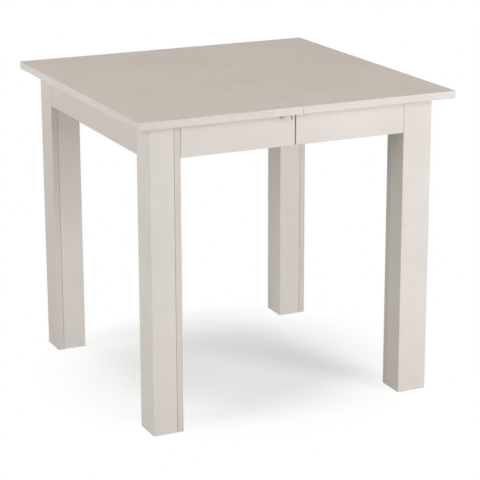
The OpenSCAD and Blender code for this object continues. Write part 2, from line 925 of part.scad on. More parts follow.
// Bolts that hold a hanger to the middle member, with a flat head on each side
module hanger_bolts(play = 0) {
    reach = middle_u1 + bracket_t;
    grip = rail_t + bracket_t;
    for (x = [-batten_x, batten_x], s = [-1, 1])
        translate([x + s * hanger_bolt_pitch / 2, bearer_in - reach, rail_z]) rotate([-90, 0, 0]) {
            translate([0, 0, -play]) cylinder(h = grip + 2 * play, d = screw_d + 2 * play);
            if (play == 0) {
                translate([0, 0, -screw_head_h]) cylinder(h = screw_head_h, d = screw_head_d);
                translate([0, 0, grip]) cylinder(h = screw_head_h / 2, d = screw_head_d);
            }
        }
}

// Screws that hold the battens to the hangers
module batten_screw_set(play = 0) {
    foot_y = bearer_in - middle_u1 - hanger_in / 2;
    at_batten_ends() for (s = [-1, 1])
        translate([s * hanger_screw_pitch / 2, foot_y, batten_z + batten_t + bracket_t]) screw(play);
}

module leaf_battens() {
    color(timber_colour) difference() {
        for (x = [-batten_x, batten_x])
            board([x - batten_w / 2, -batten_end, batten_z],
                [x + batten_w / 2, batten_end, batten_z + batten_t]);
        batten_screw_set(seat_play);
        stop_pegs(seat_play);
    }
}

// Angle that hangs a batten from the middle member
module batten_brackets() {
    top = batten_z + batten_t;
    outer = bearer_in - middle_u1;
    color(zinc_colour) difference() {
        at_batten_ends() translate([0, outer, top]) mirror([0, 1, 0])
            bent_angle(hanger_w, hanger_in, rail_z + hanger_over - top, bracket_t, bracket_round);
        front_and_back() hanger_bolts(screw_play);
        batten_screw_set(screw_play);
    }
}

module batten_screws() {
    color(zinc_colour) {
        front_and_back() hanger_bolts();
        batten_screw_set();
    }
}

// Pegs that hold the corner stops in the battens
module stop_pegs(play = 0) {
    x = leaf_half_w + leaf_seat + stop_t / 2;
    y = fold_y + leaf_seat + stop_t / 2;
    for (side = [-1, 1]) on_side(side) front_and_back()
        translate([x, y, batten_z + batten_t - stop_peg_l - play])
            cylinder(h = stop_peg_l + play, d = stop_t - 1 + 2 * play);
}

// Outline of a corner stop, with the corner of the leaf near the origin
module stop_outline() {
    soft_outline([[0, 0, 0], [0, -stop_arm, stop_round], [stop_t, -stop_arm, stop_round],
        [stop_t, stop_t, stop_round], [-stop_arm, stop_t, stop_round], [-stop_arm, 0, stop_round]]);
}

// Corner stops on the battens, which keep the folded leaf in place
module leaf_stops() {
    place = [leaf_half_w + leaf_seat, fold_y + leaf_seat, batten_z + batten_t];
    color(nylon_colour) {
        for (side = [-1, 1]) on_side(side) front_and_back()
            translate(place) linear_extrude(stop_h) stop_outline();
        stop_pegs();
    }
}

// Leaf

// Seam pins of the leaf, as they lie in the folded stack
leaf_pin_ys = [for (i = [0, 1]) fold_y - pin_first - i * pin_pitch];

module leaf_panel(z) {
    pin_height = z + top_t / 2;
    color(board_colour) difference() {
        board([-leaf_half_w, -fold_y, z], [leaf_half_w, fold_y, z + top_t]);
        pin_row(leaf_half_w, leaf_pin_ys, pin_height, seat_play);
        pin_bores(-leaf_half_w, leaf_pin_ys, pin_height);
        hinge_screw_set(seat_play);
    }
}

module leaf_pins() {
    color(nylon_colour) for (z = [leaf_z, leaf_z + top_t + fold_gap])
        pin_row(leaf_half_w, leaf_pin_ys, z + top_t / 2);
}

// Hinge wings: each panel's wing lies on its underside and takes every other knuckle
module leaf_hinge_wings() {
    step = hinge_l / knuckles;
    color(zinc_colour) difference() {
        for (x = [-hinge_x, hinge_x], flip = [0, 1])
            translate([x, fold_y, fold_z]) mirror([0, 0, flip]) difference() {
                union() {
                    translate([0, 0, fold_gap / 2 - hinge_t]) linear_extrude(hinge_t) mirror([0, 1])
                        rounded_end(hinge_l, knuckle_d / 2 + knuckle_air, hinge_wing, hinge_round);
                    for (i = [flip : 2 : knuckles - 1])
                        along_x(i * step - hinge_l / 2 + knuckle_air / 2, step - knuckle_air)
                            hinge_knuckle();
                }
                rotate([0, 90, 0])
                    cylinder(h = hinge_l + 2 * over, r = hinge_pin_d / 2 + turn_play, center = true);
            }
        hinge_screw_set(screw_play);
    }
}

// Screws of the hinge wings, in a zigzag, flush with the wings
module hinge_screw_set(play = 0) {
    wing_mid = (hinge_wing + knuckle_d / 2) / 2;
    zigzag = hinge_wing / 8;
    step = hinge_l / hinge_screws;
    for (x = [-hinge_x, hinge_x], flip = [0, 1], i = [0 : hinge_screws - 1])
        translate([x, fold_y, fold_z]) mirror([0, 0, flip])
            translate([(i + 0.5) * step - hinge_l / 2, (i % 2 * 2 - 1) * zigzag - wing_mid,
                fold_gap / 2 - hinge_t]) rotate([180, 0, 0]) flush_screw(hinge_t, play);
}

// Outline of a knuckle and its tail, which runs to the wing
module hinge_knuckle() {
    circle(d = knuckle_d);
    translate([-knuckle_d, fold_gap / 2 - hinge_t]) square([knuckle_d, hinge_t]);
}

// Pins and screws of the leaf's hinges
module leaf_hinge_pins() {
    color(zinc_colour) {
        for (x = [-hinge_x, hinge_x])
            translate([x, fold_y, fold_z]) rotate([0, 90, 0])
                cylinder(h = hinge_l, d = hinge_pin_d, center = true);
        hinge_screw_set();
    }
}

// Seam catches

// Pivot screws under the left half, front and back
module pivot_screws(play = 0) {
    low = catch_z - catch_play;
    front_and_back() translate([-catch_x, catch_y, 0]) {
        translate([0, 0, low])
            cylinder(h = under + catch_seat - low + play, d = pivot_d + 2 * play);
        if (play == 0) {
            translate([0, 0, catch_z + catch_t + catch_play])
                cylinder(h = catch_drop - catch_play, d = pivot_head_d);
            translate([0, 0, low - pivot_head_h])
                cylinder(h = pivot_head_h, d1 = pivot_head_d - pivot_head_h / 3, d2 = pivot_head_d);
        }
    }
}

module catch_pivots() {
    color(catch_colour) pivot_screws();
}

// Studs under the right half that the catches hook round
module stud_set(play = 0) {
    low = catch_z - stud_drop;
    front_and_back() translate([stud_x, stud_y, 0]) {
        translate([0, 0, low]) cylinder(h = under + catch_seat - low + play, d = stud_d + 2 * play);
        if (play == 0) translate([0, 0, low - stud_head_h]) cylinder(h = stud_head_h, d = stud_head_d);
    }
}

module catch_studs() {
    color(catch_colour) stud_set();
}

// Outline of a catch with its pivot at the origin and its hook open towards -Y
module catch_outline() {
    slot = stud_d + 2 * hook_play;
    arm_w = catch_w - 2;
    difference() {
        union() {
            circle(d = catch_w + 1);
            translate([0, -arm_w / 2]) square([catch_l, arm_w]);
            translate([catch_l, 0]) circle(d = catch_w + 2);
        }
        circle(r = pivot_d / 2 + turn_play);
        translate([catch_l, 0]) circle(d = slot);
        translate([catch_l - slot / 2, -catch_w]) square([slot, catch_w]);
    }
}

// Catch under the edge of the top, in its open place
module catch_lever(facing) {
    color(catch_colour) mirror([0, facing < 0 ? 1 : 0, 0]) translate([-catch_x, catch_y, catch_z]) {
        linear_extrude(catch_t) catch_outline();
        translate([finger_x, 0, -finger_l]) cylinder(h = finger_l + catch_t / 2, d = finger_d);
    }
}

// All nodes

for (i = [0, 1]) {
    side = 2 * i - 1;
    name = SIDES[i];
    top_board(side);
    top_edging(side);
    side_apron(side);
    long_apron(side, -1);
    long_apron(side, 1);
    leg_channel(side, -1);
    leg_cover(side, -1);
    leg_channel(side, 1);
    leg_cover(side, 1);
    leg_cores(side);
    foot_plugs(side);
    glides(side);
    dowels(side);
    corner_plates(side);
    corner_bolts(side);
    corner_nuts(side);
    bearers(side);
    outer_rails(side);
    top_brackets(side);
    wood_screws(side);
    ball_cages(side);
    balls(side);
}
color(nylon_colour) pin_row(-seam_gap / 2, pin_ys, pin_z);  // seam_pins
catch_pivots();
catch_studs();
middle_rail(-1);  // front_middle_rail
middle_rail(1);  // back_middle_rail
leaf_battens();
batten_brackets();
batten_screws();
leaf_stops();
leaf_panel(leaf_z);  // leaf_lower_panel
leaf_panel(leaf_z + top_t + fold_gap);  // leaf_upper_panel
leaf_pins();
leaf_hinge_wings();
leaf_hinge_pins();
catch_lever(-1);  // front_catch
catch_lever(1);  // back_catch
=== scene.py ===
# %% [markdown]
# # A square dining table that opens down the middle
#
# This script dresses an extending table for its portrait. The joinery, the runners and all
# that moves arrive as finished solids, called the frame, which are neither moved nor cut.
# What is added is what a camera sees from close by: the finish of every part, and the small
# hardware whose form asks for a mesh, such as threads, cross recesses and fluted pins. Each
# new piece takes the place of a plain solid.

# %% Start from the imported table
import json
import math

import bmesh
import bpy
import numpy as np
from mathutils import Matrix, Vector


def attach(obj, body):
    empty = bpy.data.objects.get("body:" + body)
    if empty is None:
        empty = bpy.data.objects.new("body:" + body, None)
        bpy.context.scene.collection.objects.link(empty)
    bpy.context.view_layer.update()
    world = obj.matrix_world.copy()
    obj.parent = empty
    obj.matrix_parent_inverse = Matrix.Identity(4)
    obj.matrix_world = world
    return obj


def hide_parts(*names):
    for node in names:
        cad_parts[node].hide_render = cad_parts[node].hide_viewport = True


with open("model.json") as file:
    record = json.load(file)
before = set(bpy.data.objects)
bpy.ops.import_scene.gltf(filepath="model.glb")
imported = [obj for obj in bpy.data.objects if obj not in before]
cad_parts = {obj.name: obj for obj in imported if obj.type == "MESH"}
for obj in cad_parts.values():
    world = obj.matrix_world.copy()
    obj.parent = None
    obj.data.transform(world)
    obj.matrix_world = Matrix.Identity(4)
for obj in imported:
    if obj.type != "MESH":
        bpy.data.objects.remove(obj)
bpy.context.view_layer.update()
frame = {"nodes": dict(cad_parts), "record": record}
MM = 0.001

# %% [markdown]
# ## The camera
#
# The photograph was taken with a long lens from the left of the front, well above the top.
# The place, the angles in radians and the lens in millimetres were worked out from the
# straight edges of the top and the legs. The picture is also shifted down a little, as a
# view camera does it: the lens slides and doesn't turn, so the legs stay as upright as they
# look in the photograph.

# %% Place the camera
CAMERA_PLACE = (-1.8025, -3.8782, 1.5920)
CAMERA_TURN = 0.4414
CAMERA_TILT = 0.2679
CAMERA_ROLL = -0.0024
CAMERA_LENS = 133.5
CAMERA_SHIFT = -0.07

camera_data = bpy.data.cameras.new("camera")
camera_data.lens = CAMERA_LENS
camera_data.shift_y = CAMERA_SHIFT
camera = bpy.data.objects.new("camera", camera_data)
turn = Matrix.Rotation(-CAMERA_TURN, 4, "Z")
tilt = Matrix.Rotation(math.pi / 2 - CAMERA_TILT, 4, "X")
roll = Matrix.Rotation(CAMERA_ROLL, 4, "Z")
camera.matrix_world = Matrix.Translation(CAMERA_PLACE) @ turn @ tilt @ roll
bpy.context.scene.collection.objects.link(camera)
bpy.context.scene.camera = camera
bpy.context.scene.view_settings.view_transform = "Standard"
print("the camera stands", round(Vector(CAMERA_PLACE).length, 2), "m from the middle of the floor")

# %% [markdown]
# ## How a material is built
#
# Every finish is a small network of nodes. `tone` turns a colour as a screen shows it into
# the linear numbers that the renderer works with. `add` makes a node and joins its inputs
# in one go, so that each finish below reads like a recipe. `finish` starts a material with
# one Principled shader and sets its plain values on the shader's own sockets, and `feed`
# joins a pattern to one of them.

# %% Colours, nodes and materials
def tone(red, green, blue):
    """A screen colour, 0 to 255, as linear numbers."""
    def linear(value):
        value = value / 255
        return value / 12.92 if value <= 0.04045 else ((value + 0.055) / 1.055) ** 2.4
    return (linear(red), linear(green), linear(blue), 1.0)


def add(material, kind, inputs=None, **settings):
    """A new node with its settings, and its inputs set or joined."""
    node = material.node_tree.nodes.new(kind)
    for name, value in settings.items():
        setattr(node, name, value)
    for name, value in (inputs or {}).items():
        if isinstance(value, bpy.types.NodeSocket):
            material.node_tree.links.new(value, node.inputs[name])
        else:
            node.inputs[name].default_value = value
    return node


def finish(name, sockets):
    """A material with one Principled shader."""
    material = bpy.data.materials.new(name)
    material.use_nodes = True
    material.node_tree.nodes.clear()
    shader = add(material, "ShaderNodeBsdfPrincipled", sockets)
    add(material, "ShaderNodeOutputMaterial", {"Surface": shader.outputs["BSDF"]})
    return material


def feed(material, socket, value):
    """Joins a pattern to one socket of the shader."""
    material.node_tree.links.new(value, material.node_tree.nodes["Principled BSDF"].inputs[socket])


print("the middle grey of a screen is", round(tone(128, 128, 128)[0], 3), "as a linear number")

# %% [markdown]
# ## Patterns
#
# A real surface varies from place to place, and noise gives that at any scale. A pattern is
# laid out by the point on the table in metres, and a stretch draws it out along a board. A
# noise seldom leaves the range from 0.3 to 0.7. So `spread` carries that range, or a
# narrower one for more contrast, over to what a colour or a roughness needs. `relief` turns
# a pattern into fine bumps, on a surface whose edges look slightly rounded.

# %% Patterns, blends and relief
WIDE = (0.3, 0.7)
NARROW = (0.35, 0.65)
EDGE_ROUND = 0.2 * MM


def place(material, stretch=(1, 1, 1)):
    """The point on the table in metres, stretched by the three factors."""
    point = add(material, "ShaderNodeTexCoord").outputs["Object"]
    return add(material, "ShaderNodeMapping", {"Vector": point, "Scale": stretch}).outputs["Vector"]


def noise(material, point, scale, detail=2.0):
    """A soft random pattern with about that many blobs in a metre."""
    inputs = {"Vector": point, "Scale": scale, "Detail": detail}
    return add(material, "ShaderNodeTexNoise", inputs).outputs["Fac"]


def spread(material, value, seen, wanted=(0.0, 1.0), fade="LINEAR"):
    """A value of the range that is seen, carried over to the range that is wanted."""
    return add(material, "ShaderNodeMapRange", {
        "Value": value, "From Min": seen[0], "From Max": seen[1], "To Min": wanted[0],
        "To Max": wanted[1]}, interpolation_type=fade).outputs["Result"]


def math_of(material, operation, *values):
    """The result of an operation on one or two values."""
    return add(material, "ShaderNodeMath", dict(enumerate(values)), operation=operation).outputs[0]


def mixed(material, first, share, second):
    """A share of the first value with the rest from the second."""
    return math_of(material, "ADD", math_of(material, "MULTIPLY", first, share),
                   math_of(material, "MULTIPLY", second, 1 - share))


def blend(material, amount, first, second):
    """A colour between two colours, which may be fixed or come from a node."""
    node = add(material, "ShaderNodeMix", {0: amount, 6: first, 7: second}, data_type="RGBA")
    return node.outputs[2]


def relief(material, height, depth, edge=EDGE_ROUND):
    """Bumps of the given depth where the pattern is high, and edges that look rounded."""
    rounded = add(material, "ShaderNodeBevel", {"Radius": edge}, samples=4).outputs["Normal"]
    bump = add(material, "ShaderNodeBump", {"Height": height, "Distance": depth, "Normal": rounded})
    feed(material, "Normal", bump.outputs["Normal"])


print("patterns use a noise from", WIDE[0], "to", WIDE[1])

# %% [markdown]
# ## Where an edge is worn
#
# Foil and plating rub bare along their arrises long before the flat faces show any wear, and a
# rounded arris catches the light. The lighter strip here is partly that wear and partly a
# painted highlight. The Bevel node gives the normal that a rounded edge would have. Where that
# differs from the true normal, the point lies close to an edge. The difference is a mask that
# finds every edge of every piece by itself, so no texture has to be painted or unwrapped. Each
# finish gives the width of its lighter strip, and how much of the lighter colour shows there.

# %% Wear and painted highlight along the edges
EDGE_ALIKE = 0.78


def wear_and_edge_highlight(material, colour, bare_and_highlight, width, share):
    """The colour with some of the lighter one near an edge, for wear and a painted highlight."""
    rounded = add(material, "ShaderNodeBevel", {"Radius": width}, samples=6)
    true = add(material, "ShaderNodeNewGeometry")
    alike = add(material, "ShaderNodeVectorMath", {
        0: rounded.outputs["Normal"], 1: true.outputs["Normal"]}, operation="DOT_PRODUCT")
    wear_and_highlight_mask = spread(material, alike.outputs["Value"], (1.0, EDGE_ALIKE), (0.0, share))
    return blend(material, wear_and_highlight_mask, colour, bare_and_highlight)


# The lighter edge is wear and a painted highlight together.
print("an edge shows full wear where the normals agree to", EDGE_ALIKE)

# %% [markdown]
# ## The pale board
#
# Top, aprons and legs are pressed board under a melamine foil in a warm grey beige that the
# trade calls cashmere. It has a very fine pearl, a slow drift of tone over a hand's width and
# a satin sheen that breaks up a little. All three are noise, at three scales, and stay
# within a few hundredths of the base. A stronger texture would look like stone or cloth at
# the distance of the photograph.

# %% Finish of the boards
BOARD_LIGHT = tone(213, 205, 200)
BOARD_DEEP = tone(209, 201, 195)
BOARD_PEARL = tone(192, 182, 173)
# Lighter arris colour: rubbed foil and a painted highlight.
BOARD_RUBBED_HIGHLIGHT = tone(228, 222, 216)
BOARD_DRIFT = 7.0
BOARD_PEARL_GRAIN = 1500.0
PEARL_RANGES = ((0.60, 0.75), (0.0, 0.25))
BOARD_SHEEN = 55.0
BOARD_ROUGH = (0.50, 0.60)
BOARD_RELIEF = 0.02 * MM
BOARD_ARRIS = 0.9 * MM
# Width and share of the lighter arris: wear and a painted highlight.
BOARD_WEAR_AND_HIGHLIGHT = (1.1 * MM, 0.4)
BOARD_GLOSS = 0.2


def foil(material, light, deep):
    """Colour and sheen of the foil. The colour is handed back for a finish that adds to it."""
    point = place(material)
    drift = noise(material, point, BOARD_DRIFT, detail=4.0)
    pearl = noise(material, point, BOARD_PEARL_GRAIN, detail=1.0)
    sheen = noise(material, point, BOARD_SHEEN, detail=4.0)
    colour = blend(material, spread(material, drift, NARROW), light, deep)
    colour = blend(material, spread(material, pearl, *PEARL_RANGES), colour, BOARD_PEARL)
    # Arrises turn lighter: rubbed foil and a painted highlight.
    colour = wear_and_edge_highlight(material, colour, BOARD_RUBBED_HIGHLIGHT, *BOARD_WEAR_AND_HIGHLIGHT)
    feed(material, "Roughness", spread(material, sheen, WIDE, BOARD_ROUGH))
    relief(material, pearl, BOARD_RELIEF, BOARD_ARRIS)
    return colour


def foiled(name, light, deep, gloss=BOARD_GLOSS):
    """A board with foil all round."""
    material = finish(name, {"Specular IOR Level": gloss})
    feed(material, "Base Color", foil(material, light, deep))
    return material


board = foiled("cashmere_board", BOARD_LIGHT, BOARD_DEEP)
print(board.name, "has", len(board.node_tree.nodes), "nodes")

# %% [markdown]
# ## The edging band
#
# A band of coloured plastic, 1.2 mm thick, is glued round the edge of the top. It's made to
# match the foil, but it never does quite. In the photograph it has the tone of the aprons
# below it, although it stands further out and gets more light. So it's the board's recipe in
# tones a shade deeper. The small round on its arrises is in the solid already.

# %% Finish of the edging
EDGING_LIGHT = tone(210, 203, 198)
EDGING_DEEP = tone(206, 198, 193)
EDGING_GLOSS = 0.28

edging = foiled("cashmere_edging", EDGING_LIGHT, EDGING_DEEP, EDGING_GLOSS)
print(edging.name, "has a gloss of", EDGING_GLOSS, "and the board", BOARD_GLOSS)

# %% [markdown]
# ## Raw pressed board
#
# Where a leg is sawn off, there is no foil: the ends show the pressed chips inside. The same
# chips show on the core in a leg's top and on the plug in its foot. A pattern of cells gives
# each chip a cell of its own, and the random colour of the cell picks a brown between fresh
# and dark chips. The cells are squeezed in height, because chips lie flat in a pressed board.

# %% Finish of the raw chips
CHIP_GRAIN = 420.0
CHIP_FLAT = (1.0, 1.0, 2.2)
CHIP_FIBRE_GRAIN = 1260.0
FIBRE_SHARE = (0.5, 1.0)
CHIP_PALE = tone(206, 181, 142)
CHIP_DARK = tone(134, 102, 66)
CHIP_RELIEF = 0.15 * MM


def chips(material):
    """Colour of raw pressed board, and the height of its chips."""
    point = place(material, CHIP_FLAT)
    cells = add(material, "ShaderNodeTexVoronoi", {"Vector": point, "Scale": CHIP_GRAIN})
    shade = add(material, "ShaderNodeSeparateColor", {"Color": cells.outputs["Color"]})
    fibre = noise(material, point, CHIP_FIBRE_GRAIN, detail=3.0)
    amount = math_of(material, "MULTIPLY", shade.outputs["Red"], spread(material, fibre, WIDE, FIBRE_SHARE))
    return blend(material, amount, CHIP_PALE, CHIP_DARK), cells.outputs["Distance"]


core_board = finish("raw_core_board", {"Roughness": 0.85, "Specular IOR Level": 0.2})
chip_colour, chip_height = chips(core_board)
feed(core_board, "Base Color", chip_colour)
relief(core_board, chip_height, CHIP_RELIEF)
print("a chip is about", round(1000 / CHIP_GRAIN, 1), "mm wide")

# %% [markdown]
# ## Legs with sawn ends, and the side aprons
#
# A leg has two looks on one solid: foil on its sides and raw chips on its ends. The solid
# can't be cut apart, because the frame isn't touched, so the material decides. Where the
# surface faces straight up or down, it shows the chips, and everywhere else the foil. The
# board that closes a leg gets foil a shade deeper, which shows on its narrow strip beside the
# seam. The side aprons are deeper too, and that is painted shade, as the sides get less light.

# %% Finish of the legs and the side aprons
END_FACING = 0.95
COVER_LIGHT = tone(206, 197, 192)
COVER_DEEP = tone(202, 192, 187)
# Side apron tones: the foil darkened as painted shade.
SHADED_SIDE_LIGHT = tone(204, 193, 189)
SHADED_SIDE_DEEP = tone(200, 188, 184)


def foiled_leg(name, light, deep):
    """Foil on the sides and raw chips on the sawn ends."""
    material = finish(name, {"Specular IOR Level": BOARD_GLOSS})
    colour = foil(material, light, deep)
    facing = add(material, "ShaderNodeSeparateXYZ", {
        "Vector": add(material, "ShaderNodeNewGeometry").outputs["Normal"]})
    upright = math_of(material, "ABSOLUTE", facing.outputs["Z"])
    is_end = math_of(material, "GREATER_THAN", upright, END_FACING)
    feed(material, "Base Color", blend(material, is_end, colour, chips(material)[0]))
    return material


leg_channel_board = foiled_leg("cashmere_leg_channel", BOARD_LIGHT, BOARD_DEEP)
leg_cover_board = foiled_leg("cashmere_leg_cover", COVER_LIGHT, COVER_DEEP)
# Side aprons: the board with painted shade.
shaded_side_board = foiled("cashmere_side_board", SHADED_SIDE_LIGHT, SHADED_SIDE_DEEP)
print("leg and side finishes:", leg_channel_board.name, leg_cover_board.name, shaded_side_board.name)

# %% [markdown]
# ## Planed beech
#
# The bearers behind the aprons, the battens under the leaf and the dowels are beech, which is
# pinkish tan, with fine fibres and short dark flecks. Both patterns are noise pulled out
# along one axis. Because wood grain runs with the length of a piece, the finish is made once
# for boards along X and once for boards along Y.

# %% Finish of the beech
BEECH_PALE = tone(226, 203, 173)
BEECH_DEEP = tone(206, 176, 142)
BEECH_FLECK = tone(168, 128, 94)
BEECH_FIBRES = 420.0
BEECH_RINGS = 40.0
BEECH_FLECKS = 2600.0
BEECH_FIBRE_DRAW = 0.03
BEECH_FLECK_DRAW = 0.14
FLECK_RANGES = ((0.64, 0.74), (0.0, 0.6))
BEECH_ROUGH = (0.48, 0.66)
BEECH_RELIEF = 0.05 * MM
# Width and share of the paler arris: wear and a painted highlight.
BEECH_WEAR_AND_HIGHLIGHT = (1.0 * MM, 0.35)


def beech_along(axis):
    """Beech whose grain runs along the axis, 0 for X or 1 for Y."""
    material = finish("beech_along_" + "xy"[axis], {"Specular IOR Level": 0.3})

    def drawn(factor):
        return place(material, [factor if i == axis else 1.0 for i in range(3)])
    fibres = noise(material, drawn(BEECH_FIBRE_DRAW), BEECH_FIBRES, detail=4.0)
    rings = noise(material, drawn(BEECH_FIBRE_DRAW), BEECH_RINGS)
    flecks = noise(material, drawn(BEECH_FLECK_DRAW), BEECH_FLECKS, detail=0.0)
    grain = mixed(material, fibres, 0.5, rings)
    colour = blend(material, spread(material, grain, NARROW), BEECH_PALE, BEECH_DEEP)
    colour = blend(material, spread(material, flecks, *FLECK_RANGES), colour, BEECH_FLECK)
    # Arrises turn paler: wear and a painted highlight.
    feed(material, "Base Color", wear_and_edge_highlight(material, colour, BEECH_PALE, *BEECH_WEAR_AND_HIGHLIGHT))
    feed(material, "Roughness", spread(material, fibres, WIDE, BEECH_ROUGH))
    relief(material, fibres, BEECH_RELIEF)
    return material


beech_x = beech_along(0)
beech_y = beech_along(1)
print("beech finishes:", beech_x.name, beech_y.name)

# %% [markdown]
# ## Nylon
#
# Glides, seam pins and corner stops are moulded in white nylon. It's slightly milky: light
# goes in a little way and comes out again beside where it entered. A small subsurface weight
# gives that, and a fine noise in the roughness stands for the skin that the mould leaves.

# %% Finish of the nylon
NYLON = tone(236, 234, 228)
NYLON_HANDLED = tone(214, 210, 200)
HANDLED_RANGES = ((0.4, 0.7), (0.0, 0.5))
NYLON_TINT = 60.0
NYLON_SKIN = 900.0
NYLON_ROUGH = (0.38, 0.52)
NYLON_DEPTH = 1.5 * MM
NYLON_RELIEF = 0.01 * MM
# Width and share of the lighter edge: wear and a painted highlight.
NYLON_WEAR_AND_HIGHLIGHT = (0.6 * MM, 0.4)

nylon = finish("white_nylon", {
    "Subsurface Weight": 0.25, "Subsurface Scale": NYLON_DEPTH, "Specular IOR Level": 0.4})
skin = noise(nylon, place(nylon), NYLON_SKIN, detail=3.0)
tint = noise(nylon, place(nylon), NYLON_TINT)
nylon_colour = blend(nylon, spread(nylon, tint, *HANDLED_RANGES), NYLON, NYLON_HANDLED)
# Edges turn lighter: wear and a painted highlight.
feed(nylon, "Base Color", wear_and_edge_highlight(nylon, nylon_colour, NYLON, *NYLON_WEAR_AND_HIGHLIGHT))
feed(nylon, "Roughness", spread(nylon, skin, WIDE, NYLON_ROUGH))
relief(nylon, skin, NYLON_RELIEF)
print("light goes", round(NYLON_DEPTH / MM, 1), "mm into the nylon")

# %% [markdown]
# ## Plated steel
#
# Brackets, bolts, screws and runners are zinc plated. Zinc is a cold grey with soft
# blotches. Handling scratches it finely. The edges are painted lighter, partly as wear where
# tools have touched them and partly as a painted highlight. One function makes all the steels.
# They differ in tone, in polish and in the way that their scratches run: `stretch` pulls the
# scratch pattern out along one axis.

# %% Finish of the steels
ZINC_BLOTCH = 160.0
SCRATCH_GRAIN = 1300.0
BLOTCH_SHARE = 0.4
# Width of the lighter edge: wear and a painted highlight.
STEEL_WEAR_AND_HIGHLIGHT = 0.5 * MM
STEEL_RELIEF = 0.008 * MM
ALONG_X = (0.02, 1.0, 1.0)


def steel(name, light, deep, bare_and_highlight, rough, wear, stretch=(1, 1, 1)):
    material = finish(name, {"Metallic": 1.0})
    blotch = noise(material, place(material), ZINC_BLOTCH, detail=4.0)
    scratch = noise(material, place(material, stretch), SCRATCH_GRAIN)
    colour = blend(material, spread(material, blotch, NARROW), tone(*light), tone(*deep))
    # Edges lighter: wear from tools and a painted highlight.
    feed(material, "Base Color", wear_and_edge_highlight(material, colour, tone(*bare_and_highlight), STEEL_WEAR_AND_HIGHLIGHT, wear))
    uneven = mixed(material, blotch, BLOTCH_SHARE, scratch)
    feed(material, "Roughness", spread(material, uneven, WIDE, rough))
    relief(material, scratch, STEEL_RELIEF)
    return material


# bare is the lighter edge colour and wear its share: wear and a painted highlight together.
zinc = steel("zinc_plated_steel", light=(206, 209, 211), deep=(180, 184, 180), bare_and_highlight=(232, 233, 235),
             rough=(0.34, 0.52), wear=0.7)
runner = steel("rolled_runner_steel", light=(184, 187, 191), deep=(160, 164, 168), bare_and_highlight=(216, 218, 221),
               rough=(0.40, 0.56), wear=0.6, stretch=ALONG_X)
polished = steel("polished_ball_steel", light=(214, 216, 219), deep=(204, 206, 209),
                 bare_and_highlight=(226, 227, 229), rough=(0.06, 0.16), wear=0.2)
tumbled = steel("tumbled_catch_steel", light=(190, 187, 183), deep=(166, 163, 158),
                bare_and_highlight=(216, 214, 210), rough=(0.45, 0.62), wear=0.8)
print("steels:", zinc.name, runner.name, polished.name, tumbled.name)

# %% [markdown]
# ## Dressing the solids
#
# The record of the table says which finish each node asks for, by the name of a slot. So a
# short table from slot to material dresses nearly all nodes at once. Some need more than
# the slot says: legs have raw ends, side aprons carry painted shade, and beech needs to know
# which way the board lies.

# %% Put the finishes on the nodes
FINISHES = {
    "board": board, "edging": edging, "core_board": core_board, "beech": beech_x, "nylon": nylon,
    "zinc_steel": zinc, "runner_steel": runner, "ball_steel": polished, "catch_steel": tumbled,
}
slot_of = {row["node"]: row["material_slot"] for row in frame["record"]["subparts"]}


def finish_for(name):
    if name.endswith("_leg_channel"):
        return leg_channel_board
    if name.endswith("_leg_cover"):
        return leg_cover_board
    # Side aprons take the board with painted shade.
    if name.endswith("_side_apron"):
        return shaded_side_board
    if name == "leaf_battens":
        return beech_y
    return FINISHES[slot_of[name]]


for name, node in frame["nodes"].items():
    for material_slot in node.material_slots:
        material_slot.material = finish_for(name)
print(len(frame["nodes"]), "nodes dressed")

# %% [markdown]
# ## Reading places from the frame
#
# A detailed screw has to sit exactly where the plain one sat. All screws of one half share a
# node, so its mesh is taken apart: points that touch belong to one solid, and each solid
# gives one place. So a screw moves along when the joinery changes.

# %% Take a node apart into its solids
WELD = 0.002 * MM


def copied_solid(node):
    """A node's mesh as a bmesh with its points welded."""
    shape = bmesh.new()
    shape.from_mesh(frame["nodes"][node].data)
    bmesh.ops.remove_doubles(shape, verts=shape.verts, dist=WELD)
    return shape


def solids(node):
    """The points of each separate solid of a node, in a fixed order."""
    shape = copied_solid(node)
    seen = set()
    groups = []
    for start in shape.verts:
        if start in seen:
            continue
        seen.add(start)
        group = [start]
        for vertex in group:
            for edge in vertex.link_edges:
                other = edge.other_vert(vertex)
                if other not in seen:
                    seen.add(other)
                    group.append(other)
        groups.append(np.array([vertex.co for vertex in group]))
    shape.free()
    return sorted(groups, key=lambda points: tuple(points.min(0).round(5)))


print("screws in the left half:", len(solids("left_wood_screws")))

# %% [markdown]
# A fastener also has a direction. Its axis is the long side of its box, and its head is at
# the end where the solid is widest. The matrix that comes out puts a piece modelled about Z,
# with its top at height 0, in that place with its top outward. Where one node holds two
# kinds of fastener, their lengths tell them apart.

# %% Find where each fastener sits and which way it looks
END_SLICE = 2.2 * MM


def box_middle(points):
    return (points.min(0) + points.max(0)) / 2


def outward_matrix(tip, direction):
    """Puts the height 0 of a turned piece at the tip, with its Z along the direction."""
    turned_to = Vector(direction).to_track_quat("Z", "Y").to_matrix().to_4x4()
    return Matrix.Translation(Vector(tip)) @ turned_to


def fastener_places(node):
    """For each solid: the matrix of its widest end, and its length in millimetres."""
    places = []
    for points in solids(node):
        low, high = points.min(0), points.max(0)
        line = int(np.argmax(high - low))
        middle = box_middle(points)
        reach = np.hypot(*(points[:, i] - middle[i] for i in range(3) if i != line))
        near_low = reach[points[:, line] < low[line] + END_SLICE].max()
        near_high = reach[points[:, line] > high[line] - END_SLICE].max()
        up = near_high >= near_low
        tip = middle.copy()
        tip[line] = high[line] if up else low[line]
        direction = [0.0, 0.0, 0.0]
        direction[line] = 1.0 if up else -1.0
        places.append((outward_matrix(tip, direction), float(high[line] - low[line]) / MM))
    return places


